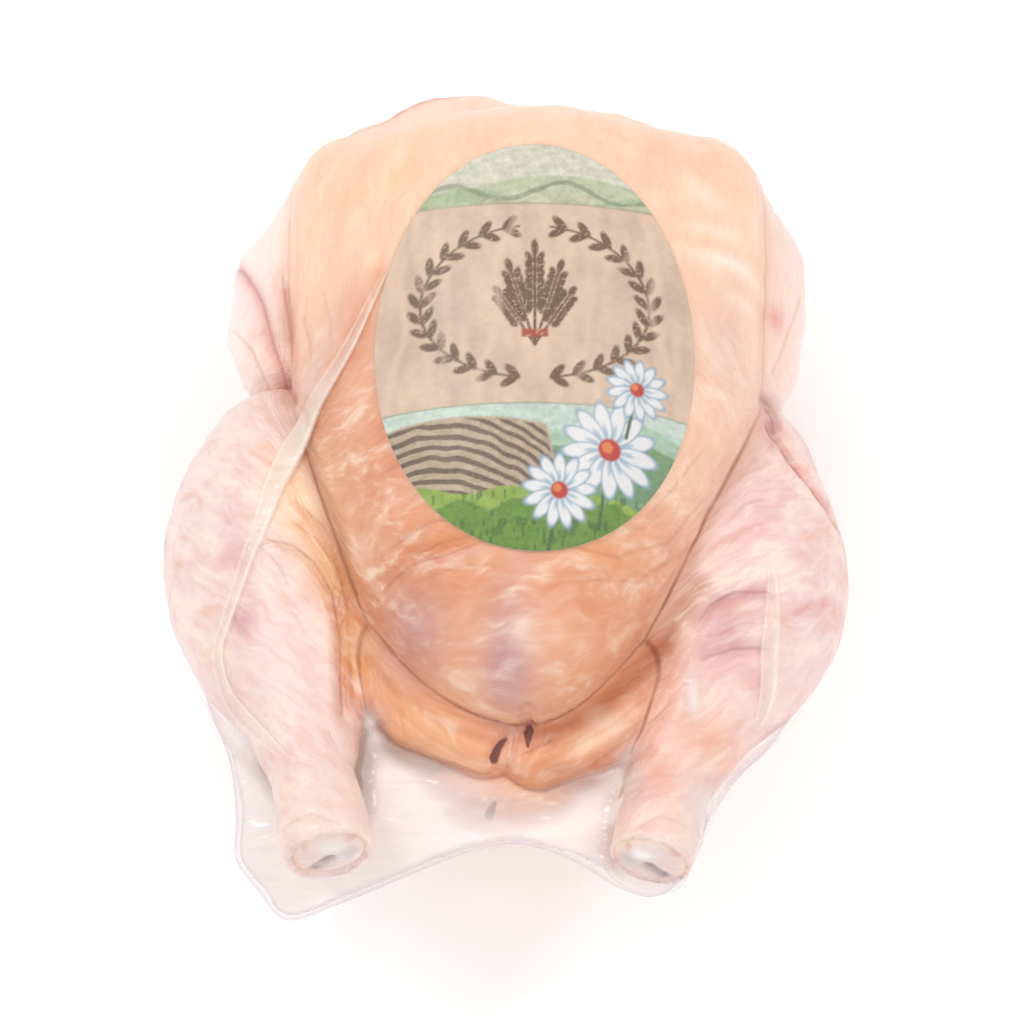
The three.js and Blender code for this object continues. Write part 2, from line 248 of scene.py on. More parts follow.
def skin(x, y, z):
    whole = joined(distances(x, y, z), **SKIN_MEETINGS)
    return soft_max(whole + SKIN_UNDER_FILM, SKIN_UNDER_FILM - z, SOFTNESS["table"])


def surface_net(value, axes):
    """A vertex for each grid cell that the surface crosses, a square for each grid edge it crosses."""
    inside = value < 0
    cells = [n - 1 for n in value.shape]
    count = np.zeros(cells, np.int8)
    for a, b, c in np.ndindex(2, 2, 2):
        count += inside[a:a + cells[0], b:b + cells[1], c:c + cells[2]]
    mixed = (count > 0) & (count < 8)
    number = np.full(cells, -1)
    number[mixed] = np.arange(mixed.sum())
    cell = np.argwhere(mixed)
    total = np.zeros((len(cell), 3))
    hits = np.zeros(len(cell))
    for axis, a, b in np.ndindex(3, 2, 2):
        low = cell.copy()
        low[:, (axis + 1) % 3] += a
        low[:, (axis + 2) % 3] += b
        high = low.copy()
        high[:, axis] += 1
        f, g = value[tuple(low.T)], value[tuple(high.T)]
        crosses = (f < 0) != (g < 0)
        t = np.where(crosses, f / np.where(crosses, f - g, 1), 0)
        for n in range(3):
            total[:, n] += crosses * (axes[n][low[:, n]] + t * (axes[n][high[:, n]] - axes[n][low[:, n]]))
        hits += crosses
    squares = []
    for axis in range(3):
        here = np.moveaxis(inside, axis, 0)[:-1]
        ahead = np.moveaxis(inside, axis, 0)[1:]
        edge = np.argwhere(np.moveaxis(here != ahead, 0, axis))
        u, v = np.eye(3, dtype=int)[(axis + 1) % 3], np.eye(3, dtype=int)[(axis + 2) % 3]
        around = ((1, 1), (0, 1), (0, 0), (1, 0))
        ring = np.stack([number[tuple((edge - a * u - b * v).T)] for a, b in around], 1)
        outwards = inside[tuple(edge.T)]
        squares.append(np.where(outwards[:, None], ring, ring[:, ::-1]))
    return total / hits[:, None], np.vstack(squares)


def slope_of(field, points, step=0.15):
    """Value, outward unit normal and steepness of a field at points."""
    here = field(*points.T)
    ahead = [field(*(points + step * np.eye(3)[i]).T) for i in range(3)]
    gradient = (np.stack(ahead, 1) - here[:, None]) / step
    length = np.linalg.norm(gradient, axis=1)[:, None] + 1e-6
    return here, gradient / length, length[:, 0]


def settled(field, points, squares, rounds=2, least_slope=0.3):
    """Evens out the mesh along the surface, puts each vertex on it and finds its normal."""
    ends = np.concatenate([squares, np.roll(squares, -1, 1)]).reshape(-1)
    starts = np.concatenate([np.roll(squares, -1, 1), squares]).reshape(-1)
    near = np.bincount(starts, minlength=len(points))[:, None]
    for _ in range(rounds):
        mean = np.stack([np.bincount(starts, points[ends, i], len(points)) for i in range(3)], 1) / near
        points = (points + mean) / 2
        value, normal, length = slope_of(field, points)
        points = points - (value / np.maximum(length, least_slope))[:, None].clip(-1, 1) * normal
    return points, slope_of(field, points)[1]


def made(name, points, faces, layers=()):
    """A smooth mesh object from points in millimetres, with its named values at each point."""
    mesh = bpy.data.meshes.new(name)
    mesh.from_pydata((np.asarray(points) * MM + BREASTBONE).tolist(), [], faces)
    mesh.polygons.foreach_set("use_smooth", np.ones(len(mesh.polygons), bool))
    for layer, values in dict(layers).items():
        if np.ndim(values) == 2:
            store, key = mesh.attributes.new(layer, "FLOAT_COLOR", "POINT"), "color"
            values = np.c_[values, np.ones(len(values))].ravel()
        else:
            store, key = mesh.attributes.new(layer, "FLOAT", "POINT"), "value"
        store.data.foreach_set(key, np.asarray(values, np.float32))
    mesh.update()
    piece = bpy.data.objects.new(name, mesh)
    bpy.context.scene.collection.objects.link(piece)
    return piece


LATTICE = 24


def bumps(points, size, seed):
    """Smooth noise from -1 to 1, with lumps of the given size or sizes."""
    lattice = np.random.default_rng(seed).uniform(-1, 1, (LATTICE, LATTICE, LATTICE))
    at = points / np.asarray(size, float)
    low = np.floor(at).astype(int)
    part = at - low
    part = part * part * (3 - 2 * part)
    total = 0
    for corner in np.ndindex(2, 2, 2):
        share = np.prod(np.where(corner, part, 1 - part), axis=1)
        total = total + share * lattice[tuple(((low + corner) % LATTICE).T)]
    return total


def turned(points, degrees):
    """The points turned in plan, so that streaks can run along any direction."""
    c, s = math.cos(math.radians(degrees)), math.sin(math.radians(degrees))
    return points @ np.array([[c, -s, 0], [s, c, 0], [0, 0, 1]])


def ramp(value, low, high):
    """0 below low, 1 above high, and smooth between."""
    t = np.clip((value - low) / (high - low), 0, 1)
    return t * t * (3 - 2 * t)


def offsets(line, x, y):
    """For each stretch of a line in plan, the offset from its nearest place and the way it runs."""
    for a, b in zip(line, line[1:]):
        ux, uy = b[0] - a[0], b[1] - a[1]
        t = np.clip(((x - a[0]) * ux + (y - a[1]) * uy) / (ux * ux + uy * uy), 0, 1)
        yield x - a[0] - t * ux, y - a[1] - t * uy, ux, uy


def away_from(line, x, y):
    """Distance in plan to a line through points."""
    away = np.full(np.shape(x), np.inf)
    for dx, dy, _, _ in offsets(line, x, y):
        away = np.minimum(away, np.hypot(dx, dy))
    return away


def across_lines(folds, x, y, far=9.0):
    """Signed distance in plan to the nearest of the folds, and that fold's depth."""
    signed, depth = np.full(np.shape(x), far), np.zeros(np.shape(x))
    for line, deep, _ in folds:
        for dx, dy, ux, uy in offsets(line, x, y):
            d = np.hypot(dx, dy) * np.where(ux * dy - uy * dx < 0, -1, 1)
            nearer = np.abs(d) < np.abs(signed)
            signed, depth = np.where(nearer, d, signed), np.where(nearer, deep, depth)
    return signed, depth


def patch(points, at, reach, turn=0):
    """1 at the middle of an oval in plan, fading to nothing at about twice its reach."""
    c, s = math.cos(math.radians(turn)), math.sin(math.radians(turn))
    dx, dy = points[:, 0] - at[0], points[:, 1] - at[1]
    return np.exp(-(((dx * c + dy * s) / reach[0]) ** 2) - ((dy * c - dx * s) / reach[1]) ** 2)


# Folds seen from above: the line of each, its depth and its width.
FOLDS = [
    ([(-69, -17), (-62, -18.5), (-56, -23), (-51, -31), (-48.5, -42), (-48, -54), (-47.5, -64)], 1.3, 1.8),
    ([(-62, -12), (-55, -17), (-49.5, -25), (-47, -34), (-46, -46), (-45, -60)], 0.9, 1.6),
    ([(-61, -6), (-54, -12), (-48, -22), (-45, -31)], 0.8, 1.6),
    ([(-71, -19), (-66, -24), (-63, -30)], 0.6, 1.2),
    ([(-33, -25), (-25, -21.5), (-15, -21)], 1.0, 2.0),
    ([(-36, -34), (-29, -31), (-21, -30.5), (-10, -28)], 0.9, 2.2),
    ([(-28, -29), (-21, -27), (-14, -26.5)], 0.8, 1.6),
    ([(-24, -35), (-15, -33.5), (-8, -34)], 0.5, 1.8),
    ([(-30, -15), (-26, -12)], 0.6, 2),
    ([(-38, -6), (-30, -4)], 0.6, 2.4),
    ([(12, -29), (26, -30), (40, -22), (50, -8)], 0.7, 2.2),
    ([(18, -37), (32, -34), (46, -20)], 0.7, 2.2),
    ([(24, -24), (33, -21), (39, -15)], 0.6, 1.8),
    ([(34, -18), (42, -8), (50, 4)], 0.6, 2),
    ([(6, -21), (13, -19)], 0.6, 1.8),
    ([(48.5, -40), (52, -35), (58, -32), (68, -31.5)], 1.2, 2.0),
    ([(50, -50), (58, -47.5), (68, -46.5)], 0.9, 1.9),
    ([(54, -44), (60, -40.5), (66, -40)], 0.5, 1.6),
    ([(56, -20), (61, -14), (66, -12)], 0.5, 1.6),
    ([(57, -12), (62, -6), (67, -4)], 0.4, 1.6),
    ([(69, 21), (75, 10), (81, 4), (89, -7)], 1.4, 1.4),
    ([(69, 30), (71, 20), (76, 12)], 1.1, 1.5),
    ([(-80, 73), (-73, 60), (-67, 44), (-63, 28)], 1.2, 1.8),
    ([(-83, 58), (-76, 50), (-69, 36)], 0.9, 1.8),
    ([(-67, 66), (-65, 52), (-63, 36)], 1.0, 1.6),
    ([(-61, 50), (-59, 42), (-58, 36)], 0.8, 1.4),
    ([(-55, 52), (-52, 42), (-52, 34)], 0.5, 1.4),
    ([(80, 66), (76, 54), (72, 44)], 0.8, 1.6),
    ([(-38, -56), (-32, -64), (-24, -70), (-14, -75)], 0.4, 1.8),
    ([(-36, -64), (-28, -71), (-18, -76)], 0.35, 1.6),
    ([(-1.5, -69.5), (-2.5, -74), (-4, -78)], 0.9, 0.9),
    ([(0.5, -74.5), (3.5, -73.5), (8, -71.5)], 0.9, 1.0),
    ([(20, -76), (30, -70), (40, -62)], 0.9, 1.8),
    ([(8, -79), (20, -79), (34, -74)], 0.9, 1.6),
    ([(14, -73), (24, -68), (34, -60)], 0.6, 1.6),
    ([(-48, -98), (-56, -95), (-62, -97)], 0.5, 1.2),
    ([(32, -98), (38, -95), (44, -97)], 0.5, 1.2),
    ([(-20, -84), (-15, -87), (-10, -86)], 0.6, 1.2),
    ([(-3, -86), (-2, -90), (-8, -92)], 0.6, 1.0),
]


# Which way the grain runs in each muscle, in degrees.
GRAIN = {
    "breast": 6, "shoulders": 78, "left roll": -70, "right roll": 42, "left wing": 66, "right wing": 104,
    "left leg": -38, "right leg": 26,
}
MUSCLE_EDGE = 3.0


def shares_of(d):
    """How much each muscle counts at a point, and the sum of these shares."""
    nearest = np.min(list(d.values()), axis=0)
    shares = {name: np.exp(-(value - nearest) / MUSCLE_EDGE) for name, value in d.items()}
    return shares, sum(shares.values())


def grain_of(points, d):
    """Places in millimetres along and across the grain of the flesh, which differs in each muscle."""
    shares, total = shares_of(d)
    forwards = ramp(points[:, 1], -5, 45)[:, None]
    trunk = turned(points, GRAIN["breast"]) * (1 - forwards) + turned(points, GRAIN["shoulders"]) * forwards
    ways = {name: trunk if name in TRUNK else turned(points, GRAIN[name]) for name in d}
    along = sum(shares[name][:, None] * ways[name] for name in d) / total[:, None]
    sway = [1.6 * bumps(points, 7, seed) + 0.8 * bumps(points, 3.5, seed + 3) for seed in (15, 16, 17)]
    return along + np.stack(sway, 1)


slits = [limb([(x, y, 0, r) for x, y, r in points]) for points in VENTS]
VENT_DEPTH = 1.6
UNDER_LABEL = (47, 61)


def relief(points, normal, grain):
    """How far the skin stands out, in millimetres: its folds, its fat and what the film presses in."""
    x, y, z = points.T
    upwards = ramp(normal[:, 2], 0.05, 0.45)
    out = np.zeros(len(points))
    for line, depth, width in FOLDS:
        away = away_from(line, x, y)
        lip = np.exp(-(((away - 2.2 * width) / (1.3 * width)) ** 2))
        out += upwards * depth * (0.3 * lip - np.exp(-((away / width) ** 2)))
    out += 0.5 * bumps(points, 13, 1) + 0.16 * bumps(points, 5, 2)
    out += 0.3 * bumps(grain, (12, 4, 9), 3) + 0.14 * bumps(grain, (7, 2.4, 5), 4)
    gathered = ramp(y, 96, 108) * ramp(z, 12, 40)
    out += gathered * 0.9 * bumps(points, (5.5, 40, 22), 6)
    tail_end = ramp(-y, 78, 83) * ramp(z, 44, 52) * ramp(22 - np.abs(x + 5), 0, 6)
    out += tail_end * 1.1 * bumps(points, (4.5, 3.2, 4), 7)
    past_label = np.hypot((x - LABEL_AT[0]) / UNDER_LABEL[0], (y - LABEL_AT[1]) / UNDER_LABEL[1])
    out *= 0.3 + 0.7 * ramp(past_label, 0.95, 1.1)
    for vent in slits:
        pressed = np.exp(-((np.maximum(vent(x, y, 0 * z), 0) / 0.9) ** 2))
        out -= VENT_DEPTH * pressed * ramp(z, 55, 60)
    return out * ramp(z, 0.5, 6)


def shade(red, green, blue):
    """A colour given as screen values, 0 to 255, in the linear light that shaders take."""
    c = np.array((red, green, blue)) / 255
    return np.where(c <= 0.04045, c / 12.92, ((c + 0.055) / 1.055) ** 2.4)


def opaque(colour):
    return (*colour, 1)


# Colours of the skin as screen values, by muscle.
TONES = {
    "back": (243, 206, 182),
    "breast": (246, 203, 172),
    "shoulders": (248, 204, 172),
    "belly": (238, 172, 130),
    "tail": (240, 184, 172),
    "neck": (252, 220, 200),
    "left roll": (245, 176, 124),
    "right roll": (243, 172, 128),
    "left wing": (255, 237, 229),
    "right wing": (251, 225, 216),
    "left leg": (240, 215, 209),
    "right leg": (241, 210, 203),
}
# Painted shade: the brown laid along the creases between the trunk and the legs, rolls and wings.
CREASE_SHADE = (196, 112, 66)
BLOOD_BLOTCH = (222, 160, 156)
FAT_BLOTCH = (255, 234, 212)
CUT_EDGE = (214, 120, 98)

# Patches of the skin's colour, with some of painted highlight and painted shade: where, how far they reach,
# their turn in degrees, how strong they are, their colour.
# Those that reach furthest belong to the trunk and stay off the legs.
PATCHES_AND_PAINTED_LIGHT = [
    ((0, -38), (66, 36), 0, 0.95, (222, 150, 110)),
    ((-20, -26), (18, 6), 8, 0.6, (228, 142, 84)),
    ((-36, 0), (10, 22), 10, 0.8, (218, 140, 100)),
    ((-54, 14), (7, 24), 8, 0.85, (214, 140, 94)),
    ((-44, 34), (8, 18), 8, 0.75, (220, 150, 116)),
    ((-41, -34), (9, 14), 20, 0.5, (206, 146, 124)),
    ((60, 26), (8, 26), 0, 0.35, (232, 190, 172)),
    ((44, 88), (16, 10), -30, 0.3, (246, 190, 142)),
    ((-38, 78), (20, 12), 30, 0.35, (248, 194, 140)),
    # Painted shade in the wedge between the breast and the right roll.
    ((22, -62), (24, 9), 34, 0.5, (216, 138, 88)),
    ((19, -28), (16, 6), -12, 0.4, (232, 160, 104)),
    ((-2, -24), (9, 7), 0, 0.6, (240, 190, 140)),
    ((-3, -55), (7, 13), 0, 0.95, (186, 140, 148)),
    # A painted highlight down the keel.
    ((0, -30), (5, 12), 0, 0.4, (226, 186, 172)),
    ((-28, -30), (10, 8), 10, 0.9, (214, 136, 88)),
    ((-28, -46), (8, 10), 25, 0.8, (196, 146, 142)),
    ((-44, -7), (6, 12), 15, 0.6, (214, 142, 100)),
    ((55, 36), (7, 14), 0, 0.45, (228, 192, 182)),
    # The next four: painted highlights, cream wisps of the film's sheen on the right shoulder.
    ((58, 60), (12, 2.4), 8, 0.75, (255, 242, 226)),
    ((54, 68), (8, 2.2), 16, 0.55, (255, 240, 222)),
    ((51, 78), (8, 4.5), -20, 0.4, (255, 238, 220)),
    ((62, 51), (8, 2), 14, 0.4, (255, 238, 220)),
    ((22, -46), (14, 8), 40, 0.35, (226, 150, 104)),
    ((-61, -4), (9, 16), 20, 0.95, (248, 211, 170)),
    ((-51, -28), (6, 16), 22, 0.85, (234, 178, 112)),
    ((-44.5, -50), (4.2, 15), 6, 1.0, (238, 160, 80)),
    ((-78, -18), (4, 18), 4, 0.6, (222, 176, 180)),
    ((-75, -38), (4, 6), -30, 0.7, (206, 140, 146)),
    ((-78, -58), (5, 14), -20, 0.45, (222, 166, 164)),
    ((-60, -58), (8, 22), 0, 0.6, (240, 218, 212)),
    ((54, -42), (9, 12), 0, 0.9, (218, 178, 180)),
    ((64, -10), (10, 14), 0, 0.45, (226, 180, 184)),
    ((78, -34), (9, 22), 0, 0.5, (234, 204, 206)),
    ((50, -72), (9, 14), 30, 0.8, (230, 160, 128)),
    ((38, -84), (5, 12), 10, 0.6, (236, 160, 122)),
    ((6, -83), (11, 4), 0, 0.9, (240, 172, 108)),
    ((-9, -87.6), (3.6, 2.6), 0, 0.6, (206, 178, 176)),
    ((-18, -84), (6, 5), 0, 0.5, (240, 184, 184)),
    ((-62, -84), (4, 14), -18, 0.35, (232, 168, 156)),
    ((72, 58), (2.4, 3.4), 20, 0.55, (228, 128, 118)),
    ((70, 20), (3, 6), 20, 0.6, (226, 138, 126)),
    ((-75, 62), (6, 12), 20, 0.4, (246, 216, 216)),
    ((-70, 40), (4, 12), 10, 0.4, (236, 180, 168)),
    ((-52, -98), (12, 8), 0, 0.6, (249, 222, 202)),
    ((37, -99), (10, 8), 0, 0.6, (248, 214, 196)),
    ((4, -50), (18, 5), 0, 0.3, (248, 206, 176)),
    # The next three: painted highlights along the crests of the rolls.
    ((-26, -70), (12, 4), -28, 0.5, (246, 190, 146)),
    ((20, -71), (14, 2.4), 38, 0.8, (253, 216, 182)),
    ((-28, -62), (13, 3), -34, 0.5, (246, 184, 134)),
    ((13, -78), (12, 3.5), 8, 0.95, (222, 142, 98)),
    ((6, 108), (42, 10), 0, 0.9, (253, 226, 210)),
]
# Lines where skin is thin over blood or folded on itself, and lines of painted shade in creases and beside
# the left pleat: width, strength and colour.
STREAKS_AND_SHADE_LINES = [
    ([(-35, 113.5), (-27, 117), (-18, 119)], 1.0, 0.85, CUT_EDGE),
    ([(49, -38), (57, -32.5), (68, -32)], 1.9, 0.6, (196, 138, 148)),
    ([(50, -49), (58, -48), (67, -47)], 1.6, 0.5, (200, 142, 150)),
    ([(69, 21), (75, 10), (81, 4), (89, -7)], 1.5, 0.7, (226, 146, 136)),
    # Painted shade between the right wing and the breast.
    ([(69, 34), (70, 24), (71, 14)], 2.2, 0.7, (196, 140, 140)),
    ([(-60, -12), (-49, -26), (-46, -38), (-46, -57)], 1.4, 0.7, (224, 148, 78)),
    ([(-68, -18), (-57, -22), (-50, -33), (-48, -49)], 1.1, 0.6, (216, 154, 120)),
    ([(-80, 73), (-73, 60), (-67, 44), (-62, 30)], 1.5, 0.7, (220, 152, 146)),
    ([(-50, 104), (-42, 110), (-35, 113.5)], 0.7, 0.5, CUT_EDGE),
    ([(-18, 119), (-6, 120), (6, 117)], 0.8, 0.2, CUT_EDGE),
    ([(-66, 62), (-64, 50), (-62, 36)], 1.5, 0.65, (222, 152, 132)),
    # Painted shadow beside the left pleat's ridge.
    ([(-37, 50), (-43, 38), (-50, 24), (-57, 12)], 3.0, 0.5, (206, 128, 84)),
    # Painted shade in the wedge between the breast and the right roll.
    ([(8, -69), (20, -64), (30, -55), (40, -44), (49, -30)], 3.2, 0.75, (184, 104, 62)),
    # The next two: painted shade along the breast's creases against the left roll and the left leg.
    ([(-44, -45), (-34, -57), (-20, -67), (-8, -71)], 1.2, 0.5, (196, 120, 76)),
    ([(-58, 10), (-54, -2), (-48, -20)], 1.5, 0.5, (186, 128, 90)),
]


def breast_edge(d):
    """Signed distance across the crease between the trunk and what lies against it."""
    others = [d[name] for name in FORMS if name not in TRUNK]
    return np.min([d[name] for name in TRUNK], axis=0) - np.min(others, axis=0)


def leg_edge(d):
    """Signed distance across the crease between a leg and what lies against it."""
    others = [d[name] for name in FORMS if not name.endswith("leg")]
    return np.minimum(d["left leg"], d["right leg"]) - np.min(others, axis=0)


def skin_tone(points, normal, d):
    """The skin's colour at each point, from the muscle it lies on and its patches, with painted shade along
    its creases.
    """
    x, y, z = points.T
    shares, total = shares_of(d)
    tone = sum(shares[name][:, None] * shade(*TONES[name]) for name in shares) / total[:, None]
    upwards = ramp(normal[:, 2], -0.2, 0.3)

    def lay(strength, colour):
        nonlocal tone
        strength = np.clip(strength, 0, 1)[:, None]
        tone = tone * (1 - strength) + shade(*colour) * strength

    on_leg = (shares["left leg"] + shares["right leg"]) / total
    for at, reach, turn, strength, colour in PATCHES_AND_PAINTED_LIGHT:
        spread = patch(points, at, reach, turn) * strength * upwards
        lay(spread * (1 - on_leg) if reach[0] > 30 else spread, colour)
    for line, width, strength, colour in STREAKS_AND_SHADE_LINES:
        lay(np.exp(-((away_from(line, x, y) / width) ** 2)) * strength * upwards, colour)
    blotch = bumps(points, 11, 11) + 0.5 * bumps(points, 5, 12)
    lay(0.3 * ramp(blotch, 0.1, 1.1) * (0.3 + on_leg), BLOOD_BLOTCH)
    lay(0.3 * ramp(-blotch, 0.2, 1.2), FAT_BLOTCH)
    # Painted shade beside the crease round the trunk, wider off the trunk's side and fading towards the
    # neck, and a fainter one along the legs.
    beside = breast_edge(d)
    shaded = np.exp(-((beside / np.where(beside > 0, 3.0, 1.0)) ** 2)) * upwards
    lay(0.34 * shaded * (1 - 0.7 * ramp(y, 0, 30)), CREASE_SHADE)
    lay(0.15 * np.exp(-((leg_edge(d) / 2.2) ** 2)) * upwards, CREASE_SHADE)
    return tone


def grid(step):
    return [np.arange(low, high + step, step) for low, high in zip(*SPACE)]


def field_on(axes, field, every=4, near=8.0):
    """The field's values on a grid: exact near the surface, and those of a coarser grid elsewhere."""
    coarse = field(*np.meshgrid(*[axis[::every] for axis in axes], indexing="ij"))
    nearest = [(np.arange(len(axis)) + every // 2) // every for axis in axes]
    value = coarse[np.ix_(*[np.minimum(number, n - 1) for number, n in zip(nearest, coarse.shape)])]
    close = np.argwhere(np.abs(value) < near)
    value[tuple(close.T)] = field(*[axis[close[:, i]] for i, axis in enumerate(axes)])
    return value


def meshed(field, cell):
    """The points, squares and normals of the surface where a field is nothing."""
    axes = grid(cell)
    points, squares = surface_net(field_on(axes, field), axes)
    points, normals = settled(field, points, squares)
    return points, squares, normals


HOCK_DIP = dict(depth=3.0, reach=11.0)


def hock_dip(points):
    """How far the skin is sunk where the gristle of a cut hock takes its place."""
    total = 0
    for parts in LEGS:
        off_middle = np.linalg.norm(points - np.array(parts["cut"]), axis=1)
        at_cut = ramp(past_cut(parts, *points.T), -1.6, -0.7)
        total = total + at_cut * ramp(HOCK_DIP["reach"] - off_middle, 0, 1.5)
    return HOCK_DIP["depth"] * total


def mottled(points, d):
    """How much the mottling shows: most on belly and legs, least in creases and underneath."""
    x, y, z = points.T
    amount = 0.3 + 0.35 * ramp(-y, -45, 5) + 0.2 * ramp(-leg_edge(d), -1, 1)
    amount = amount * (0.4 + 0.6 * ramp(np.abs(breast_edge(d)), 1, 8))
    return amount * (0.3 + 0.7 * ramp(z, 8, 40)) * (1 - 0.3 * ramp(-y, 36, 52))


def vent_distance(points, d):
    """Distance in plan to the nearest vent, on the tail and belly only."""
    x, y, z = points.T
    nearest = np.min([vent(x, y, 0) for vent in slits], axis=0)
    return np.maximum(nearest, np.maximum(0.4 - d["breast"], 50 - z))


skin_points, skin_squares, skin_normals = meshed(skin, SKIN_CELL)
skin_distances = distances(*skin_points.T)
skin_grain = grain_of(skin_points, skin_distances)
fold_side, fold_depth = across_lines(FOLDS, *skin_points[:, :2].T)
facing_up = ramp(skin_normals[:, 2], 0.05, 0.45)
uneven = 0.75 + 0.35 * bumps(skin_points, 8, 14)
skin_layers = {
    "tone": skin_tone(skin_points, skin_normals, skin_distances),
    "grain": skin_grain,
    "breast_edge": breast_edge(skin_distances),
    "leg_edge": leg_edge(skin_distances),
    # How strong the painted shade is along the creases between the forms.
    "edge_shade": uneven * (0.25 + 0.7 * facing_up) * (1 - 0.7 * ramp(skin_points[:, 1], 0, 30)),
    "fold": fold_side,
    # How strong the painted shade is along the folds.
    "fold_depth": np.exp(-((fold_side / 1.5) ** 2)) * fold_depth * facing_up * uneven,
    "vent": vent_distance(skin_points, skin_distances),
    "mottled": mottled(skin_points, skin_distances),
}
lift = relief(skin_points, skin_normals, skin_grain) - hock_dip(skin_points)
chicken = made("chicken", skin_points + lift[:, None] * skin_normals, skin_squares.tolist(), skin_layers)


def new_group(name, inputs, outputs):
    """A shader node group with the named inputs, as (name, kind, value), and the named outputs."""
    group = bpy.data.node_groups.new(name, "ShaderNodeTree")
    for title, kind, value in inputs:
        socket = group.interface.new_socket(title, in_out="INPUT", socket_type=kind)
        socket.default_value = value
    for title, kind in outputs:
        group.interface.new_socket(title, in_out="OUTPUT", socket_type=kind)
    return group, group.nodes.new("NodeGroupInput"), group.nodes.new("NodeGroupOutput")


def math_node(tree, operation, first, second):
    node = tree.nodes.new("ShaderNodeMath")
    node.operation = operation
    for socket, value in zip(node.inputs, (first, second)):
        if isinstance(value, (int, float)):
            socket.default_value = value
        else:
            tree.links.new(value, socket)
    return node.outputs[0]


def mixed_colour(tree, share, first, second, blend="MIX"):
    node = tree.nodes.new("ShaderNodeMix")
    node.data_type = "RGBA"
    node.blend_type = blend
    for socket, value in ((node.inputs[0], share), (node.inputs[6], first), (node.inputs[7], second)):
        if isinstance(value, (int, float, tuple)):
            socket.default_value = value
        else:
            tree.links.new(value, socket)
    return node.outputs[2]


def noise(tree, scale, detail, stretch, turn=0.0, place=None):
    """Noise over the object's own place in metres, or over another place, stretched and turned."""
    place = place or tree.nodes.new("ShaderNodeTexCoord").outputs["Object"]
    mapping = tree.nodes.new("ShaderNodeMapping")
    mapping.inputs["Scale"].default_value = stretch
    mapping.inputs["Rotation"].default_value = (0, 0, math.radians(turn))
    tree.links.new(place, mapping.inputs["Vector"])
    node = tree.nodes.new("ShaderNodeTexNoise")
    node.inputs["Detail"].default_value = detail
    tree.links.new(mapping.outputs[0], node.inputs["Vector"])
    if isinstance(scale, (int, float)):
        node.inputs["Scale"].default_value = scale
    else:
        tree.links.new(scale, node.inputs["Scale"])
    return node.outputs["Fac"]


def stepped(tree, value, low, high):
    """0 below low, 1 above high, and smooth between."""
    node = tree.nodes.new("ShaderNodeMapRange")
    node.interpolation_type = "SMOOTHSTEP"
    node.inputs["From Min"].default_value = low
    node.inputs["From Max"].default_value = high
    tree.links.new(value, node.inputs["Value"])
    return node.outputs["Result"]


# Mottling: the streaks of blood and fat that show along the grain of anything soft.
mottling, given, out = new_group(
    "mottling",
    [("Colour", "NodeSocketColor", (1, 1, 1, 1)), ("Grain", "NodeSocketVector", (0, 0, 0)),
     ("Blood", "NodeSocketColor", (0.8, 0.6, 0.5, 1)), ("Fat", "NodeSocketColor", (1, 0.9, 0.75, 1)),
     ("Amount", "NodeSocketFloat", 0.3)],
    [("Colour", "NodeSocketColor"), ("Streaks", "NodeSocketFloat")],
)
broad = noise(mottling, 0.085, 1, (0.6, 1.7, 1), place=given.outputs["Grain"])
streaks = noise(mottling, 0.3, 2, (0.4, 1.5, 1), place=given.outputs["Grain"])
half_broad, half_streaks = (math_node(mottling, "MULTIPLY", part, 0.5) for part in (broad, streaks))
both = math_node(mottling, "ADD", half_broad, half_streaks)
blood, fat = (
    math_node(mottling, "MULTIPLY", stepped(mottling, both, low, high), given.outputs["Amount"])
    for low, high in ((0.54, 0.3), (0.48, 0.76))
)
bloody = mixed_colour(mottling, blood, given.outputs["Colour"], given.outputs["Blood"], "MULTIPLY")
mottling.links.new(mixed_colour(mottling, fat, bloody, given.outputs["Fat"]), out.inputs["Colour"])
mottling.links.new(streaks, out.inputs["Streaks"])


def placed(tree, group, **values):
    """A node of the group, with constant values on its sockets."""
    node = tree.nodes.new("ShaderNodeGroup")
    node.node_tree = group
    for title, value in values.items():
        node.inputs[title].default_value = value
    return node


def finish(name):
    """A new material, with its node tree and its Principled shader."""
    material = bpy.data.materials.new(name)
    material.use_nodes = True
    return material, material.node_tree, material.node_tree.nodes["Principled BSDF"]


def attribute(tree, name, output):
    node = tree.nodes.new("ShaderNodeAttribute")
    node.attribute_name = name
    return node.outputs[output]


def bumped(tree, shader, height, distance, strength):
    node = tree.nodes.new("ShaderNodeBump")
    node.inputs["Distance"].default_value = distance
    node.inputs["Strength"].default_value = strength
    tree.links.new(height, node.inputs["Height"])
    tree.links.new(node.outputs[0], shader.inputs["Normal"])


def thin_line(tree, name, depth, width):
    """How strongly painted shade darkens a crease where the named signed distance is nothing, fading to 0
    past the width.
    """
    away = math_node(tree, "ABSOLUTE", attribute(tree, name, "Fac"), 0)
    line = math_node(tree, "SUBTRACT", 1, stepped(tree, away, 0.05, width))
    return math_node(tree, "MULTIPLY", line, depth)


def flesh_of(tree, **values):
    """The mottling over the piece's own tone and grain."""
    flesh = placed(tree, mottling, **values)
    tree.links.new(attribute(tree, "tone", "Color"), flesh.inputs["Colour"])
    tree.links.new(attribute(tree, "grain", "Vector"), flesh.inputs["Grain"])
    return flesh


SKIN_BLOOD = (0.92, 0.70, 0.60, 1)
SKIN_FAT = (1.0, 0.84, 0.68, 1)
# The tint and strength of the painted shade in creases and folds.
CREASE_SHADE_TINT = (0.50, 0.27, 0.18, 1)
FOLD_SHADE = 0.42
# The dark red painted into the vents' slits: the flesh inside with painted shade.
SHADED_INSIDE = shade(112, 42, 34)

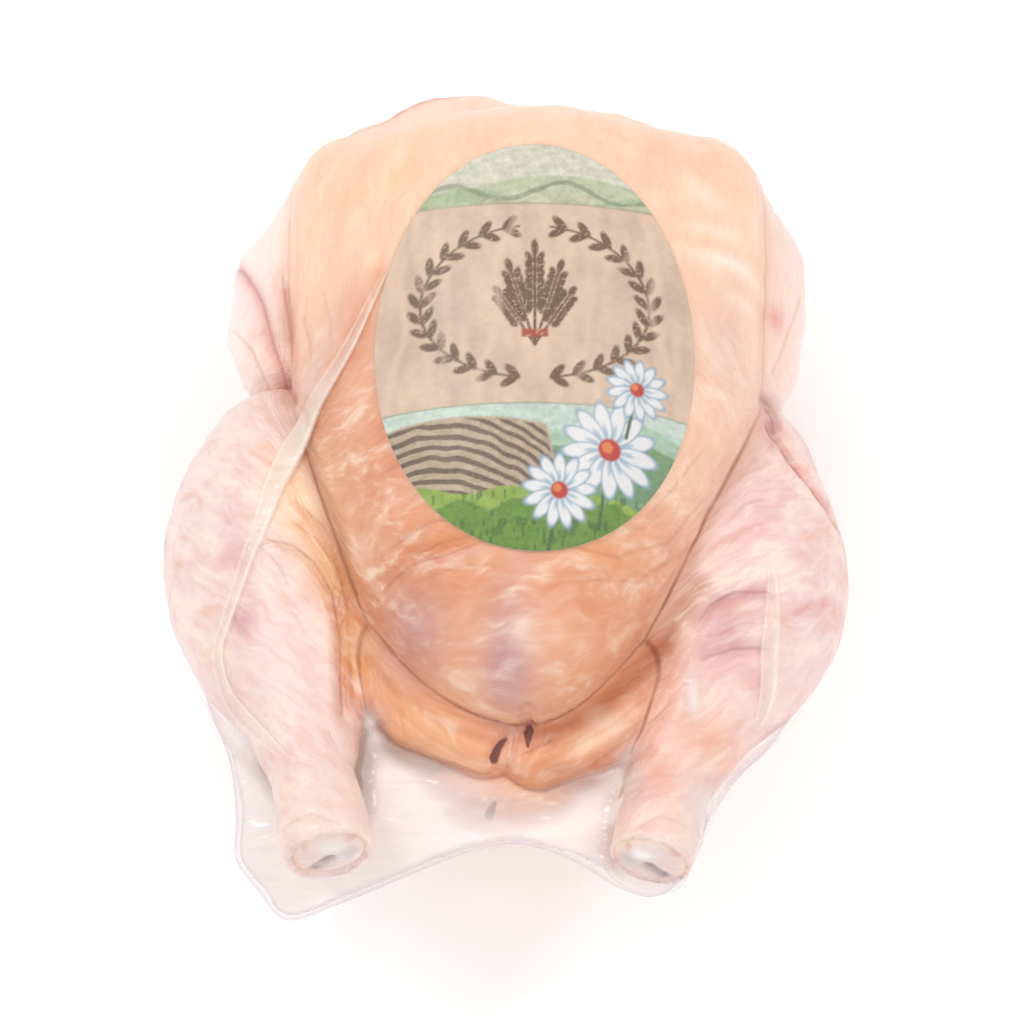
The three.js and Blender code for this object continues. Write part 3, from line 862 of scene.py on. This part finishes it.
raw_skin, tree, shader = finish("raw_skin")
flesh = flesh_of(tree, Blood=SKIN_BLOOD, Fat=SKIN_FAT)
tree.links.new(attribute(tree, "mottled", "Fac"), flesh.inputs["Amount"])
# Painted shade: thin dark lines along the creases between the forms and along the folds.
edge_shade = attribute(tree, "edge_shade", "Fac")
breast_line = thin_line(tree, "breast_edge", edge_shade, 1.3)
edges = math_node(tree, "MAXIMUM", breast_line, thin_line(tree, "leg_edge", edge_shade, 1.1))
folds = thin_line(tree, "fold", attribute(tree, "fold_depth", "Fac"), 0.8)
creases = math_node(tree, "MAXIMUM", edges, math_node(tree, "MULTIPLY", folds, FOLD_SHADE))
crease_shaded = mixed_colour(tree, creases, flesh.outputs["Colour"], CREASE_SHADE_TINT, "MULTIPLY")
# Painted shade: the vents' slits filled with the dark red of the shaded flesh inside.
opening = math_node(tree, "SUBTRACT", 1, stepped(tree, attribute(tree, "vent", "Fac"), -0.3, 0.3))
tree.links.new(mixed_colour(tree, opening, crease_shaded, opaque(SHADED_INSIDE)), shader.inputs["Base Color"])
bumped(tree, shader, flesh.outputs["Streaks"], 0.0012, 0.35)
wetness = math_node(tree, "MULTIPLY", flesh.outputs["Streaks"], 0.35)
tree.links.new(math_node(tree, "ADD", 0.2, wetness), shader.inputs["Roughness"])
chicken.data.materials.append(raw_skin)
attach(chicken, "root")
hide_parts("bagged_chicken")

# The hocks: where the feet were cut off, the end of each shin is a knuckle of grey-white gristle.
# Two rounded heads with a slot between them, painted dark purple as shade, sunk in a rim of skin.
HOCK_REACH = (11.0, 10.4)
HOCK_RINGS = 26
HOCK_SPOKES = 96
HOCK_SINK = 1.1
MEAT = shade(232, 206, 196)
GRISTLE = shade(244, 238, 236)
GRISTLE_GREY = shade(186, 174, 182)
GRISTLE_PINK = shade(236, 200, 192)
SKIN_RIM = shade(244, 210, 184)
# Painted shade in the slot between the heads.
SLOT_SHADE = shade(112, 70, 84)
BLOOD = shade(222, 150, 142)

gristle, tree, shader = finish("gristle")
flesh = flesh_of(tree, Amount=0.4, Blood=(0.85, 0.75, 0.78, 1), Fat=(1.0, 0.95, 0.9, 1))
tree.links.new(flesh.outputs["Colour"], shader.inputs["Base Color"])
bumped(tree, shader, flesh.outputs["Streaks"], 0.0006, 0.6)
shader.inputs["Roughness"].default_value = 0.3
shader.inputs["Coat Weight"].default_value = 0.6
shader.inputs["Coat Roughness"].default_value = 0.1


def hock(name, parts, hand, tilt):
    """The cut end of a shin: a dome of rings round its middle, with its heads, slot and rim."""
    outwards = shin_way(parts)
    side = np.cross(outwards, (0, 0, 1))
    side /= np.linalg.norm(side)
    top = np.cross(side, outwards)
    centre = np.array(parts["cut"]) - outwards * (SKIN_UNDER_FILM + HOCK_SINK)
    rings = np.linspace(0, 1, HOCK_RINGS)[1:]
    spokes = np.linspace(0, 2 * math.pi, HOCK_SPOKES, endpoint=False)
    r = np.concatenate([[0], np.repeat(rings, HOCK_SPOKES)])
    t = np.concatenate([[0], np.tile(spokes, HOCK_RINGS - 1)])
    u, v = r * np.cos(t), r * np.sin(t)
    c, s = math.cos(math.radians(tilt)), math.sin(math.radians(tilt))
    a, b = hand * (u * c + v * s), v * c - u * s
    white_head = np.exp(-(((a + 0.22) / 0.42) ** 2) - ((b - 0.36) / 0.3) ** 2)
    grey_head = np.exp(-(((a + 0.42) / 0.36) ** 2) - ((b + 0.12) / 0.32) ** 2)
    small_head = np.exp(-(((a - 0.44) / 0.3) ** 2) - ((b - 0.08) / 0.3) ** 2)
    slot = np.exp(-((away_from([(0.5, -0.5), (0.02, -0.22)], a, b) / 0.15) ** 2))
    uneven = bumps(np.c_[u, v, 0 * u] * 8, 2.2, 21)
    edge = ramp(r, 0.82, 1.0)
    rise = 1.5 * white_head + 1.3 * grey_head + 0.9 * small_head - 1.3 * slot + 0.15 * uneven - 1.4 * edge
    sideways, upwards = np.outer(u * HOCK_REACH[0], side), np.outer(v * HOCK_REACH[1], top)
    points = centre + sideways + upwards + np.outer(rise, outwards)
    tone = np.tile(MEAT, (len(u), 1))
    layers = (
        (0.9 * grey_head, GRISTLE_GREY), (0.95 * white_head, GRISTLE), (0.5 * small_head, GRISTLE_PINK),
        (0.8 * ramp(r + 0.06 * uneven, 0.7, 0.86), SKIN_RIM), (1.2 * slot, SLOT_SHADE),
        (0.6 * ramp(uneven, 0.3, 0.7) * ramp(r, 0.4, 0.8), BLOOD),
    )
    for share, colour in layers:
        share = np.clip(share, 0, 1)[:, None]
        tone = tone * (1 - share) + colour * share
    at = lambda ring, spoke: 1 + ring * HOCK_SPOKES + spoke % HOCK_SPOKES
    faces = [
        (at(ring, spoke), at(ring + 1, spoke), at(ring + 1, spoke + 1), at(ring, spoke + 1))
        for ring in range(HOCK_RINGS - 2) for spoke in range(HOCK_SPOKES)
    ]
    faces += [(0, at(0, spoke), at(0, spoke + 1)) for spoke in range(HOCK_SPOKES)]
    piece = made(name, points, faces, {"tone": tone, "grain": np.c_[8 * u, 8 * v, 0 * u]})
    piece.data.materials.append(gristle)
    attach(piece, "root")


hock("left_hock", LEGS[0], 1, -12)
hock("right_hock", LEGS[1], -1, 10)

# The bag: clear film drawn tight by shrinking, on the skin where it touches and hazy where it spans air.
# Past the tail it runs on, upper film and lower film, to the seam that was welded across its mouth.
BAG_EDGE = [
    (-91, -36, 46), (-86, -54, 46), (-80, -70, 46), (-78, -86, 46), (-78, -97, 44), (-72, -105, 41),
    (-64.5, -113, 40), (-49, -109.5, 44), (-33, -104.5, 50), (-14, -98.5, 56), (-1, -97, 59),
    (11, -101, 62), (19, -106, 64), (27, -111.5, 66), (36, -114, 67), (44, -108.5, 66), (50, -94, 62),
    (59, -78, 56), (68, -68, 52), (78, -53, 50),
]
BAG_UPPER_SLOPE = 0.42
BAG_LOWER_RUN = 52
BAG_ROOF = 60
BAG_FLOOR = 12
WELD = dict(thickness=0.5, wall=1.4, width=2.6, lap=0.12)
FILM_SPAN = dict(trunk=8, roll=3, shoulder=14, hip=6)
FILM_TO_BAG = 8
FILM_ON_TABLE = 1.5
FILM_CELL = 1.3
# Cloudy places of the film: where, how far they reach, their turn in degrees, how strong they are.
VEILS = [
    ((51, -95), (6, 12), 8, 0.65), ((35, -105), (12, 7), 0, 0.3), ((-51, -104), (12, 7), 0, 0.16),
    ((-22, -84), (10, 8), 0, 0.25), ((29, -82), (4, 8), 0, 0.6), ((-41, -64), (4, 5), 0, 0.4),
    ((-54, -86), (14, 24), 0, 0.16), ((40, -90), (12, 20), 0, 0.14), ((-78, -20), (10, 34), 0, 0.1),
    ((-14, -88), (20, 5), 0, 0.12), ((46.8, -60), (2.2, 7.5), 4, 0.8), ((-56, 30), (3.4, 15), -24, 0.3),
    ((0, -19), (2.5, 6), 0, 0.22), ((30, -74), (9, 1.6), 36, 0.2), ((55, -82), (6, 3), 20, 0.2),
    ((-30, -24), (6, 1.4), 10, 0.2), ((-18, -31), (8, 1.4), 6, 0.22),
]
HAZE = dict(touching=0.03, over_creases=0.2, over_air=0.42, lifted=0.28, drawn=0.07, deep=(2.2, 8), most=0.9)


def smooth_line(points, step):
    """Points about a step apart on the curve that runs through the given ones."""
    points = np.array(points, float)
    ends = np.vstack([2 * points[0] - points[1], points, 2 * points[-1] - points[-2]])
    dense = []
    for p0, p1, p2, p3 in zip(ends, ends[1:], ends[2:], ends[3:]):
        t0, t1 = 0, np.linalg.norm(p1 - p0) ** 0.5
        t2 = t1 + np.linalg.norm(p2 - p1) ** 0.5
        t3 = t2 + np.linalg.norm(p3 - p2) ** 0.5
        t = np.linspace(t1, t2, 12, endpoint=False)[:, None]
        a1 = ((t1 - t) * p0 + (t - t0) * p1) / (t1 - t0)
        a2 = ((t2 - t) * p1 + (t - t1) * p2) / (t2 - t1)
        a3 = ((t3 - t) * p2 + (t - t2) * p3) / (t3 - t2)
        b1 = ((t2 - t) * a1 + (t - t0) * a2) / (t2 - t0)
        b2 = ((t3 - t) * a2 + (t - t1) * a3) / (t3 - t1)
        dense.append(((t2 - t) * b1 + (t - t1) * b2) / (t2 - t1))
    dense = np.vstack(dense + [points[-1:]])
    run = np.concatenate([[0], np.cumsum(np.linalg.norm(np.diff(dense, axis=0), axis=1))])
    at = np.linspace(0, run[-1], round(run[-1] / step) + 1)
    return np.stack([np.interp(at, run, dense[:, i]) for i in range(dense.shape[1])], 1)


bag_edge = smooth_line(BAG_EDGE, 4)


def inwards_from_edge(x, y):
    """How far in from the welded edge a place in plan is, and the height of the edge near it."""
    inside = np.zeros(np.shape(x), bool)
    for a, b in zip(bag_edge, np.roll(bag_edge, -1, axis=0)):
        if a[1] != b[1]:
            inside ^= ((a[1] > y) != (b[1] > y)) & (x < a[0] + (y - a[1]) / (b[1] - a[1]) * (b[0] - a[0]))
    weights = [1 / ((a[0] - x) ** 2 + (a[1] - y) ** 2 + 4) ** 2 for a in bag_edge]
    height = sum(w * a[2] for w, a in zip(weights, bag_edge)) / sum(weights)
    away = away_from(bag_edge, x, y)
    return np.where(inside, away, -away), height


def bag_end(x, y, z):
    """Distance to the slack end of the bag, between its upper and its lower film."""
    inwards, height = inwards_from_edge(x, y)
    roof = np.minimum(height + BAG_UPPER_SLOPE * inwards, BAG_ROOF)
    fall = height / BAG_LOWER_RUN
    floor = np.maximum(height - fall * inwards, BAG_FLOOR)
    upper = (z - roof) / math.hypot(1, BAG_UPPER_SLOPE)
    lower = (floor - z) / np.hypot(1, fall)
    return np.maximum(np.maximum(upper, lower), WELD["wall"] - inwards)


def tight_film(x, y, z):
    return joined(distances(x, y, z), **FILM_SPAN)


def film(x, y, z):
    """Distance to the whole bag: tight over the bird, slack past its tail, flat on the table."""
    whole = soft_min(tight_film(x, y, z), bag_end(x, y, z), FILM_TO_BAG)
    return soft_max(whole, -z, FILM_ON_TABLE)


def haze_of(points, normals, gap):
    """How cloudy the film looks: more where it is off the skin, where it is slack, and in its veils."""
    lifted = tight_film(*points.T) - bag_end(*points.T)
    over_air = HAZE["over_air"] * ramp(lifted, 0, 9) * (0.3 + 0.7 * ramp(gap, 1, 7))
    haze = HAZE["touching"] + HAZE["over_creases"] * ramp(gap, *HAZE["deep"])
    haze += HAZE["lifted"] * ramp(lifted, -2.6, -0.4) + over_air
    drawn = bumps(turned(points, 24), (16, 2.6, 8), 33) + 0.6 * bumps(turned(points, -30), (9, 2, 6), 34)
    for at, reach, turn, strength in VEILS:
        uneven = 1 if reach[1] > 7 else 0.45 + 0.8 * ramp(drawn, -0.5, 0.6)
        haze += strength * patch(points, at, reach, turn) * ramp(normals[:, 2], -0.2, 0.3) * uneven
    return np.clip(haze + HAZE["drawn"] * ramp(drawn, 0.5, 1.1), 0, HAZE["most"])


film_points, film_squares, film_normals = meshed(film, FILM_CELL)
gap = skin(*film_points.T) - SKIN_UNDER_FILM
touching = 1 - ramp(gap, 0.8, 3.5)
tension = 0.35 * bumps(turned(film_points, 20), (26, 5, 12), 31)
tension += 0.25 * bumps(turned(film_points, -35), (20, 4, 10), 32)
film_grain = grain_of(film_points, distances(*film_points.T))
lift = relief(film_points, film_normals, film_grain) * touching + tension * (1 - touching)
haze = haze_of(film_points, film_normals, gap)
bag = made("bag_film", film_points + lift[:, None] * film_normals, film_squares.tolist(), {"haze": haze})

# Film creasing: the glassy ripples of thin film pulled tight, for the film and its folds.
RIPPLES_PER_METRE = 130
creasing, given, out = new_group(
    "creasing", [("Fineness", "NodeSocketFloat", 1.0)], [("Ripples", "NodeSocketFloat")]
)
scale = math_node(creasing, "MULTIPLY", given.outputs["Fineness"], RIPPLES_PER_METRE)
creasing.links.new(noise(creasing, scale, 0, (0.6, 2.6, 1.4), turn=24), out.inputs["Ripples"])


def film_finish(name, colour, fineness, roughness):
    """Clear film that shows only as far as it is hazy."""
    material, tree, shader = finish(name)
    crease = placed(tree, creasing, Fineness=fineness)
    tree.links.new(attribute(tree, "haze", "Fac"), shader.inputs["Alpha"])
    bumped(tree, shader, crease.outputs["Ripples"], 0.0016, 0.7)
    shader.inputs["Base Color"].default_value = opaque(colour)
    shader.inputs["Roughness"].default_value = roughness
    return material


bag.data.materials.append(film_finish("clear_film", shade(249, 238, 234), 1.0, 0.16))
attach(bag, "root")
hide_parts("bagged_chicken")

# The welded seam: the two films of clear plastic melted into one band by a hot bar.
# It runs round the mouth of the bag, past the legs, and laps a little over both films.
SEAM_STEP = 1.2
seam_line = smooth_line(BAG_EDGE, SEAM_STEP)


def across_plan(line, i, reach):
    """The way across a line in plan at its point i."""
    a, b = line[max(i - reach, 0)], line[min(i + reach, len(line) - 1)]
    way = (b - a)[:2] / np.linalg.norm((b - a)[:2])
    return np.array([-way[1], way[0]])


def seam():
    """Rings of the band: over the end of the upper film, round the rim and under the lower film."""
    rings = []
    for i, (x, y, z) in enumerate(seam_line):
        way = across_plan(seam_line, i, 12)

        def pair(inwards, lap):
            px, py = (x, y) + way * inwards
            lower, upper = z - z / BAG_LOWER_RUN * inwards - lap, z + BAG_UPPER_SLOPE * inwards + lap
            return (px, py, lower), (px, py, upper)

        rim, end = pair(0, WELD["thickness"] / 2), pair(WELD["width"], WELD["lap"])
        middle = pair(WELD["width"] / 2, WELD["lap"])
        rings.append([end[0], middle[0], rim[0], rim[1], middle[1], end[1]])
    return np.array(rings)


def net_squares(number):
    """The squares of a net from the numbers of its points."""
    corners = [number[:-1, :-1], number[1:, :-1], number[1:, 1:], number[:-1, 1:]]
    return np.stack(corners, 2).reshape(-1, 4)


def ribbon(name, rings, haze):
    """A strip of film through rings of points."""
    number = np.arange(rings.shape[0] * rings.shape[1]).reshape(rings.shape[:2])
    return made(name, rings.reshape(-1, 3), net_squares(number).tolist(), {"haze": haze})


SEAM_HAZE = [0.05, 0.2, 0.45, 0.45, 0.2, 0.05]
weld = ribbon("welded_seam", seam(), np.tile(SEAM_HAZE, len(seam_line)))
weld.data.materials.append(film_finish("welded_film", shade(238, 222, 228), 0.5, 0.22))
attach(weld, "root")

# The pleats: where the bag is wider than the bird its slack clear film lies folded double.
# Each is a long flat tuck on top of the film, given by its places in plan and its half widths.
PLEATS = [
    (
        [(-32, 60), (-38, 48), (-48, 30), (-61, 14), (-72, -16), (-80, -38), (-82.5, -46), (-80.5, -55),
         (-69, -71), (-59, -82)],
        [0.3, 0.9, 2.0, 3.4, 2.0, 1.5, 1.4, 1.4, 1.5, 0.4],
    ),
    ([(67.5, -19), (69, -34), (68, -47), (67, -59), (63, -69)], [0.3, 1.8, 2.4, 2.0, 0.3]),
]
# The cross section of a tuck: how far out, how high, and how cloudy its edges and its body are.
PLEAT_OUT = np.array([-1.15, -0.9, -0.65, -0.2, 0.35, 0.75, 0.95, 1.15])
PLEAT_RISE = np.array([0.0, 0.5, 0.3, 0.35, 0.5, 1.0, 0.7, 0.0]) * 0.7
PLEAT_EDGES = np.array([0.0, 0.5, 0.2, 0.2, 0.35, 0.75, 0.45, 0.0])
PLEAT_BODY = np.array([0, 0.15, 0.4, 0.46, 0.4, 0.15, 0.1, 0])
PLEAT_OFF_FILM = 0.3
TOP_STEP = 2.0

top_x, top_y = np.arange(-100, 101, TOP_STEP), np.arange(-120, 123, TOP_STEP)
top_z = np.full((len(top_x), len(top_y)), 124.0)
for _ in range(50):
    top_z -= np.clip(film(*np.meshgrid(top_x, top_y, indexing="ij"), top_z) * 0.85, 0, 5)


def top_of(x, y):
    """The film's height from above at places in plan."""
    i = np.clip(((x - top_x[0]) / TOP_STEP).astype(int), 0, len(top_x) - 2)
    j = np.clip(((y - top_y[0]) / TOP_STEP).astype(int), 0, len(top_y) - 2)
    u, v = (x - top_x[i]) / TOP_STEP, (y - top_y[j]) / TOP_STEP
    near, far = (top_z[i + n, j] * (1 - v) + top_z[i + n, j + 1] * v for n in (0, 1))
    return near * (1 - u) + far * u


def pleat(name, line, widths):
    line = smooth_line(np.c_[line, widths], SEAM_STEP)
    across = np.array([across_plan(line[:, :2], i, 3) for i in range(len(line))])
    wander = 0.12 * bumps(line * (1, 1, 0), 7, 36)[:, None]
    width = line[:, 2, None]
    x, y = (line[:, i, None] + across[:, i, None] * (PLEAT_OUT + wander) * width for i in (0, 1))
    rise = PLEAT_RISE * np.minimum(width, 1) + PLEAT_OFF_FILM
    z = top_of(x.ravel(), y.ravel()).reshape(x.shape) + rise
    haze = (PLEAT_EDGES + PLEAT_BODY * ramp(width, 1.5, 3)) * ramp(width, 0.2, 1.3) * (0.85 + 2 * wander)
    return ribbon(name, np.stack([x, y, z], 2), haze.clip(0, HAZE["most"]).ravel())


folded_film = film_finish("folded_film", shade(255, 244, 232), 1.0, 0.2)
for name, (line, widths) in zip(("left_pleat", "right_pleat"), PLEATS):
    fold = pleat(name, line, widths)
    fold.data.materials.append(folded_film)
    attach(fold, "root")

# The label: an oval of thin kraft paper, printed and then stuck on the film over the breast.
# A sheaf of grain in a leaf wreath, with meadow hills above and daisies by a ploughed field below.
LABEL_HALF = (43.5, 58)
LABEL_NET = (250, 330)
LABEL_LIFT = 0.5
LABEL_THICKNESS = 0.15
KRAFT = shade(226, 197, 174)
INK = shade(122, 92, 74)
CUT_PAPER = shade(236, 226, 214)
SOIL = shade(190, 158, 132)
PRINT_STRENGTH = 0.83
WREATH_REACH = (31, 22)
DAISY_RED = shade(196, 62, 54)
HILLS = ((45, 14, (196, 204, 168)), (41.5, 9, (172, 192, 152)), (40, 6, (206, 210, 176)))
# Lines of painted light and shade where the paper is crumpled: place, slant, and how much lighter or darker
# they are.
CRUMPLE_SHADING = ((-37, 0.1, 1.22), (-25, -0.3, 0.84), (-12, 0.15, 1.16), (15, 0.35, 0.86), (34, -0.1, 1.22))


def cover(distance, soft):
    """1 inside a shape and 0 outside, blurred a little at its edge."""
    return np.clip(0.5 - distance / soft, 0, 1)[:, None]


def oval(x, y, at, reach, turn=0):
    """Distance to an oval, nearly."""
    c, s = math.cos(math.radians(turn)), math.sin(math.radians(turn))
    dx, dy = x - at[0], y - at[1]
    k = np.hypot((dx * c + dy * s) / reach[0], (dy * c - dx * s) / reach[1])
    return (k - 1) * min(reach)


def stroke(x, y, a, b, width):
    return away_from([a, b], x, y) - width / 2


def printed(x, y):
    """The label's colours at places measured from its middle."""
    spread = np.c_[x, y, 0 * x]
    worn = 0.09 * bumps(spread, 7, 41) + 0.08 * bumps(spread, (2.4, 9, 1), 42)
    worn += 0.05 * bumps(spread, 1.3, 47)
    colour = np.tile(KRAFT, (len(x), 1)) * (1 + worn)[:, None]

    def ink(distance, tint, strength=1.0, soft=0.45):
        nonlocal colour
        share = cover(distance, soft) * strength
        colour = colour * (1 - share) + tint * share

    wash = bumps(spread, (5, 1.6, 1), 43)
    daub = 0.12 * bumps(spread, (2.6, 1.1, 1), 48) + 0.1 * bumps(spread, 0.8, 49)
    ink(41 + 1.2 * np.sin(x / 9) - y, shade(222, 220, 200))
    for base, sway, tint in HILLS:
        hill = base + 3 * np.sin(x / sway + base) - y
        ink(np.maximum(-hill, 39.5 - y), shade(*tint), 0.85)
    hedge = np.abs(y - 43 - 2.5 * np.sin(x / 5)) - 0.7 - 0.5 * wash
    ink(np.maximum(hedge, 40 - y), shade(120, 132, 108), 0.55)
    ink(np.abs(y - 39.2) - 0.25, shade(150, 160, 130), 0.7)

    def leaf(at, lean, size, tint=INK):
        ink(oval(x, y, at, size, -lean), tint)

    def ear(foot, lean, tall):
        up = np.array((math.sin(math.radians(lean)), math.cos(math.radians(lean))))
        side = np.array((up[1], -up[0]))
        ink(stroke(x, y, foot, foot + up * tall, 0.8), INK)
        for k in range(6):
            at = foot + up * (tall * 0.45 + k * tall * 0.095)
            for way in (-1, 1):
                leaf(at + side * way * 1.5, lean + way * 24, (0.95, tall * 0.075))
        leaf(foot + up * tall * 1.04, lean, (1.0, tall * 0.09))

    for lean, tall in ((0, 27), (-17, 23), (17, 23), (-33, 18), (33, 18)):
        ear(np.array((0.0, -2.0)), lean, tall)
    ink(np.maximum(np.abs(x) - 3.6, np.abs(y - 1.2) - 1.1), shade(176, 92, 72))
    across, along = WREATH_REACH
    wreath = np.abs(oval(x, y, (0, 10.5), WREATH_REACH)) - 0.3
    ink(np.maximum(wreath, 4 - np.abs(x)), INK)
    for n in range(14):
        around = math.radians(-78 + n * 12)
        for way in (-1, 1):
            bend = math.degrees(math.atan2(-across * math.sin(around), along * math.cos(around)))
            for side in (-1, 1):
                out = 1 + side * 0.062
                at = (way * across * math.cos(around) * out, 10.5 + along * math.sin(around) * out)
                leaf(at, way * (bend + side * 38), (1.15, 2.7))
    # Painted light and shade along the crumples.
    for cx, slant, lighter in CRUMPLE_SHADING:
        crumple = np.abs(x - cx - slant * y - 1.5 * np.sin(y / 5 + cx)) - 0.5
        ink(np.maximum(crumple, np.abs(y - 10) - 28), KRAFT * lighter, 0.7, 2.4)
    speck = bumps(spread, 0.55, 44)
    faded = ramp(speck, 0.45, 0.8)[:, None] * 0.5 * ramp(0.6 - np.abs(y - 14) / 60, 0, 0.3)[:, None]
    colour = colour * (1 - faded) + KRAFT * faded

    ink(y + 18.5, shade(206, 222, 208))
    ink(np.abs(y + 18.5) - 0.22, shade(150, 162, 140), 0.8)
    ink(np.maximum(y + 24 + 2.2 * np.sin(x / 7 + 1) + 0.8 * wash, y + 19), shade(176, 204, 178), 0.9)
    ink(np.maximum(y + 29 - 0.05 * x + 1.5 * np.sin(x / 5), y + 19), shade(112, 150, 104), 0.85)
    field = np.maximum(y + 21.5 + 0.0045 * (x + 22) ** 2, x - 2 + 0.25 * (y + 20))
    ink(field, shade(196, 176, 152))
    furrows = np.sin((y + 0.012 * (x + 30) ** 2) * 2.1 + 1.1 * bumps(spread, 4, 45))
    ink(np.maximum(field + 0.6, 0.1 - furrows), shade(98, 80, 70), 0.85)
    ink(np.maximum(y + 42.5 + 0.06 * x + 1.2 * np.sin(x / 4), -60 - y), shade(150, 178, 84))
    ink(np.maximum(y + 45.5 + 1.0 * np.sin(x / 2.2 + 1) + 1.6 * wash, -60 - y), shade(104, 146, 62), 0.9)
    tuft = bumps(spread, (0.8, 2.4, 1), 46)
    ink(np.maximum(0.35 - tuft, y + 42), shade(70, 108, 60), 0.6, 0.3)
    pictured = np.maximum(ramp(y, 38.9, 39.4), 1 - ramp(y, -18.9, -18.4))
    colour = colour * (1 + daub * pictured)[:, None]
    for (fx, fy), size in (((20, -30), 12.5), ((6.5, -42), 9.5), ((27.5, -12.5), 8.0)):
        ink(stroke(x, y, (fx, fy), (fx - 3, fy - size * 1.7), 0.9), shade(72, 112, 66))
        for n in range(13):
            turn = 360 / 13 * n + fx
            a = math.radians(turn)
            at = (fx + math.cos(a) * size * 0.6, fy + math.sin(a) * size * 0.6)
            petal = oval(x, y, at, (size * 0.42, size * 0.165), turn)
            ink(petal - 0.25, shade(150, 176, 196))
            ink(petal + 0.12, shade(240, 240, 240))
            root = (fx + math.cos(a) * size * 0.36, fy + math.sin(a) * size * 0.36)
            ink(oval(x, y, root, (size * 0.18, size * 0.05), turn), shade(160, 188, 206), 0.8)
        ink(oval(x, y, (fx, fy), (size * 0.24, size * 0.24)), DAISY_RED)
        ink(oval(x, y, (fx - 0.6, fy + 0.6), (size * 0.12, size * 0.12)), shade(236, 140, 76), 0.9)
    return colour * PRINT_STRENGTH


def label():
    """A square net of points pressed out to the oval, with its edge turned down to the film."""
    u, v = np.meshgrid(*[np.linspace(-1, 1, count) for count in LABEL_NET], indexing="ij")
    across = (u * np.sqrt(1 - v * v / 2) * LABEL_HALF[0]).ravel()
    along = (v * np.sqrt(1 - u * u / 2) * LABEL_HALF[1]).ravel()
    x, y = across + LABEL_AT[0], along + LABEL_AT[1]
    spread = np.c_[x, y, 0 * x]
    z = top_of(x, y) + LABEL_LIFT
    z += 0.16 * bumps(turned(spread, 15), (18, 5, 1), 51) + 0.05 * bumps(spread, 2.5, 52)
    number = np.arange(u.size).reshape(u.shape)
    border = np.concatenate([number[:-1, 0], number[-1, :-1], number[:0:-1, -1], number[0, :0:-1]])
    below = u.size + np.arange(len(border))
    edge = np.stack([np.roll(border, -1), border, below, np.roll(below, -1)], 1)
    lowered = np.c_[x[border], y[border], z[border] - LABEL_THICKNESS - 0.6 * LABEL_LIFT]
    colours = np.vstack([printed(across, along), np.tile(CUT_PAPER, (len(border), 1))])
    faces = np.vstack([net_squares(number), edge]).tolist()
    points = np.vstack([np.c_[x, y, z], lowered])
    return made("paper_label", points, faces, {"print": np.clip(colours, 0, 1)})


paper, tree, shader = finish("printed_paper")
fibres = noise(tree, 1400, 1, (1, 3, 1), turn=30)
soil = math_node(tree, "MULTIPLY", stepped(tree, fibres, 0.45, 0.8), 0.22)
soiled = mixed_colour(tree, soil, attribute(tree, "print", "Color"), opaque(SOIL))
tree.links.new(soiled, shader.inputs["Base Color"])
crumpled = noise(tree, 60, 2, (1, 2.4, 1), turn=-20)
height = math_node(tree, "ADD", crumpled, math_node(tree, "MULTIPLY", fibres, 0.12))
bumped(tree, shader, height, 0.0012, 0.5)
shader.inputs["Roughness"].default_value = 0.42
paper_label = label()
paper_label.data.materials.append(paper)
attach(paper_label, "root")
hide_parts("label")

# The floor and the light: a pale sweep of paper in an evenly white room.
# Three soft round lamps high on the left, on the right and past the tail give the form its shading.
FLOOR_HALF = 2.0
LAMPS_AIM = Vector((0, 0, 0.05))

floor_mesh = bpy.data.meshes.new("floor")
corners = [(x * FLOOR_HALF, y * FLOOR_HALF, 0) for x, y in ((-1, -1), (1, -1), (1, 1), (-1, 1))]
floor_mesh.from_pydata(corners, [], [(0, 1, 2, 3)])
floor = bpy.data.objects.new("floor", floor_mesh)
bpy.context.scene.collection.objects.link(floor)
sweep, tree, shader = finish("pale_sweep")
shader.inputs["Base Color"].default_value = (0.9, 0.9, 0.9, 1)
shader.inputs["Roughness"].default_value = 0.9
shader.inputs["Emission Color"].default_value = (1, 1, 1, 1)
shader.inputs["Emission Strength"].default_value = 0.16
sweep.cycles.emission_sampling = "NONE"
floor.data.materials.append(sweep)


def soft_light(name, place, width, power):
    light = bpy.data.lights.new(name, "AREA")
    light.shape = "DISK"
    light.size = width
    light.energy = power
    lamp = bpy.data.objects.new(name, light)
    lamp.location = place
    lamp.rotation_euler = (LAMPS_AIM - Vector(place)).to_track_quat("-Z", "Y").to_euler()
    bpy.context.scene.collection.objects.link(lamp)


soft_light("left_window", (-0.55, 0.35, 0.95), 0.3, 2.6)
soft_light("right_window", (0.6, 0.1, 0.95), 0.25, 1.6)
soft_light("tail_window", (0.1, -0.75, 0.9), 0.3, 1.6)
world = bpy.data.worlds.new("studio")
bpy.context.scene.world = world
world.use_nodes = True
white = world.node_tree.nodes["Background"]
white.inputs["Color"].default_value = (1, 1, 1, 1)
white.inputs["Strength"].default_value = 0.8
bpy.context.scene.view_settings.view_transform = "Standard"
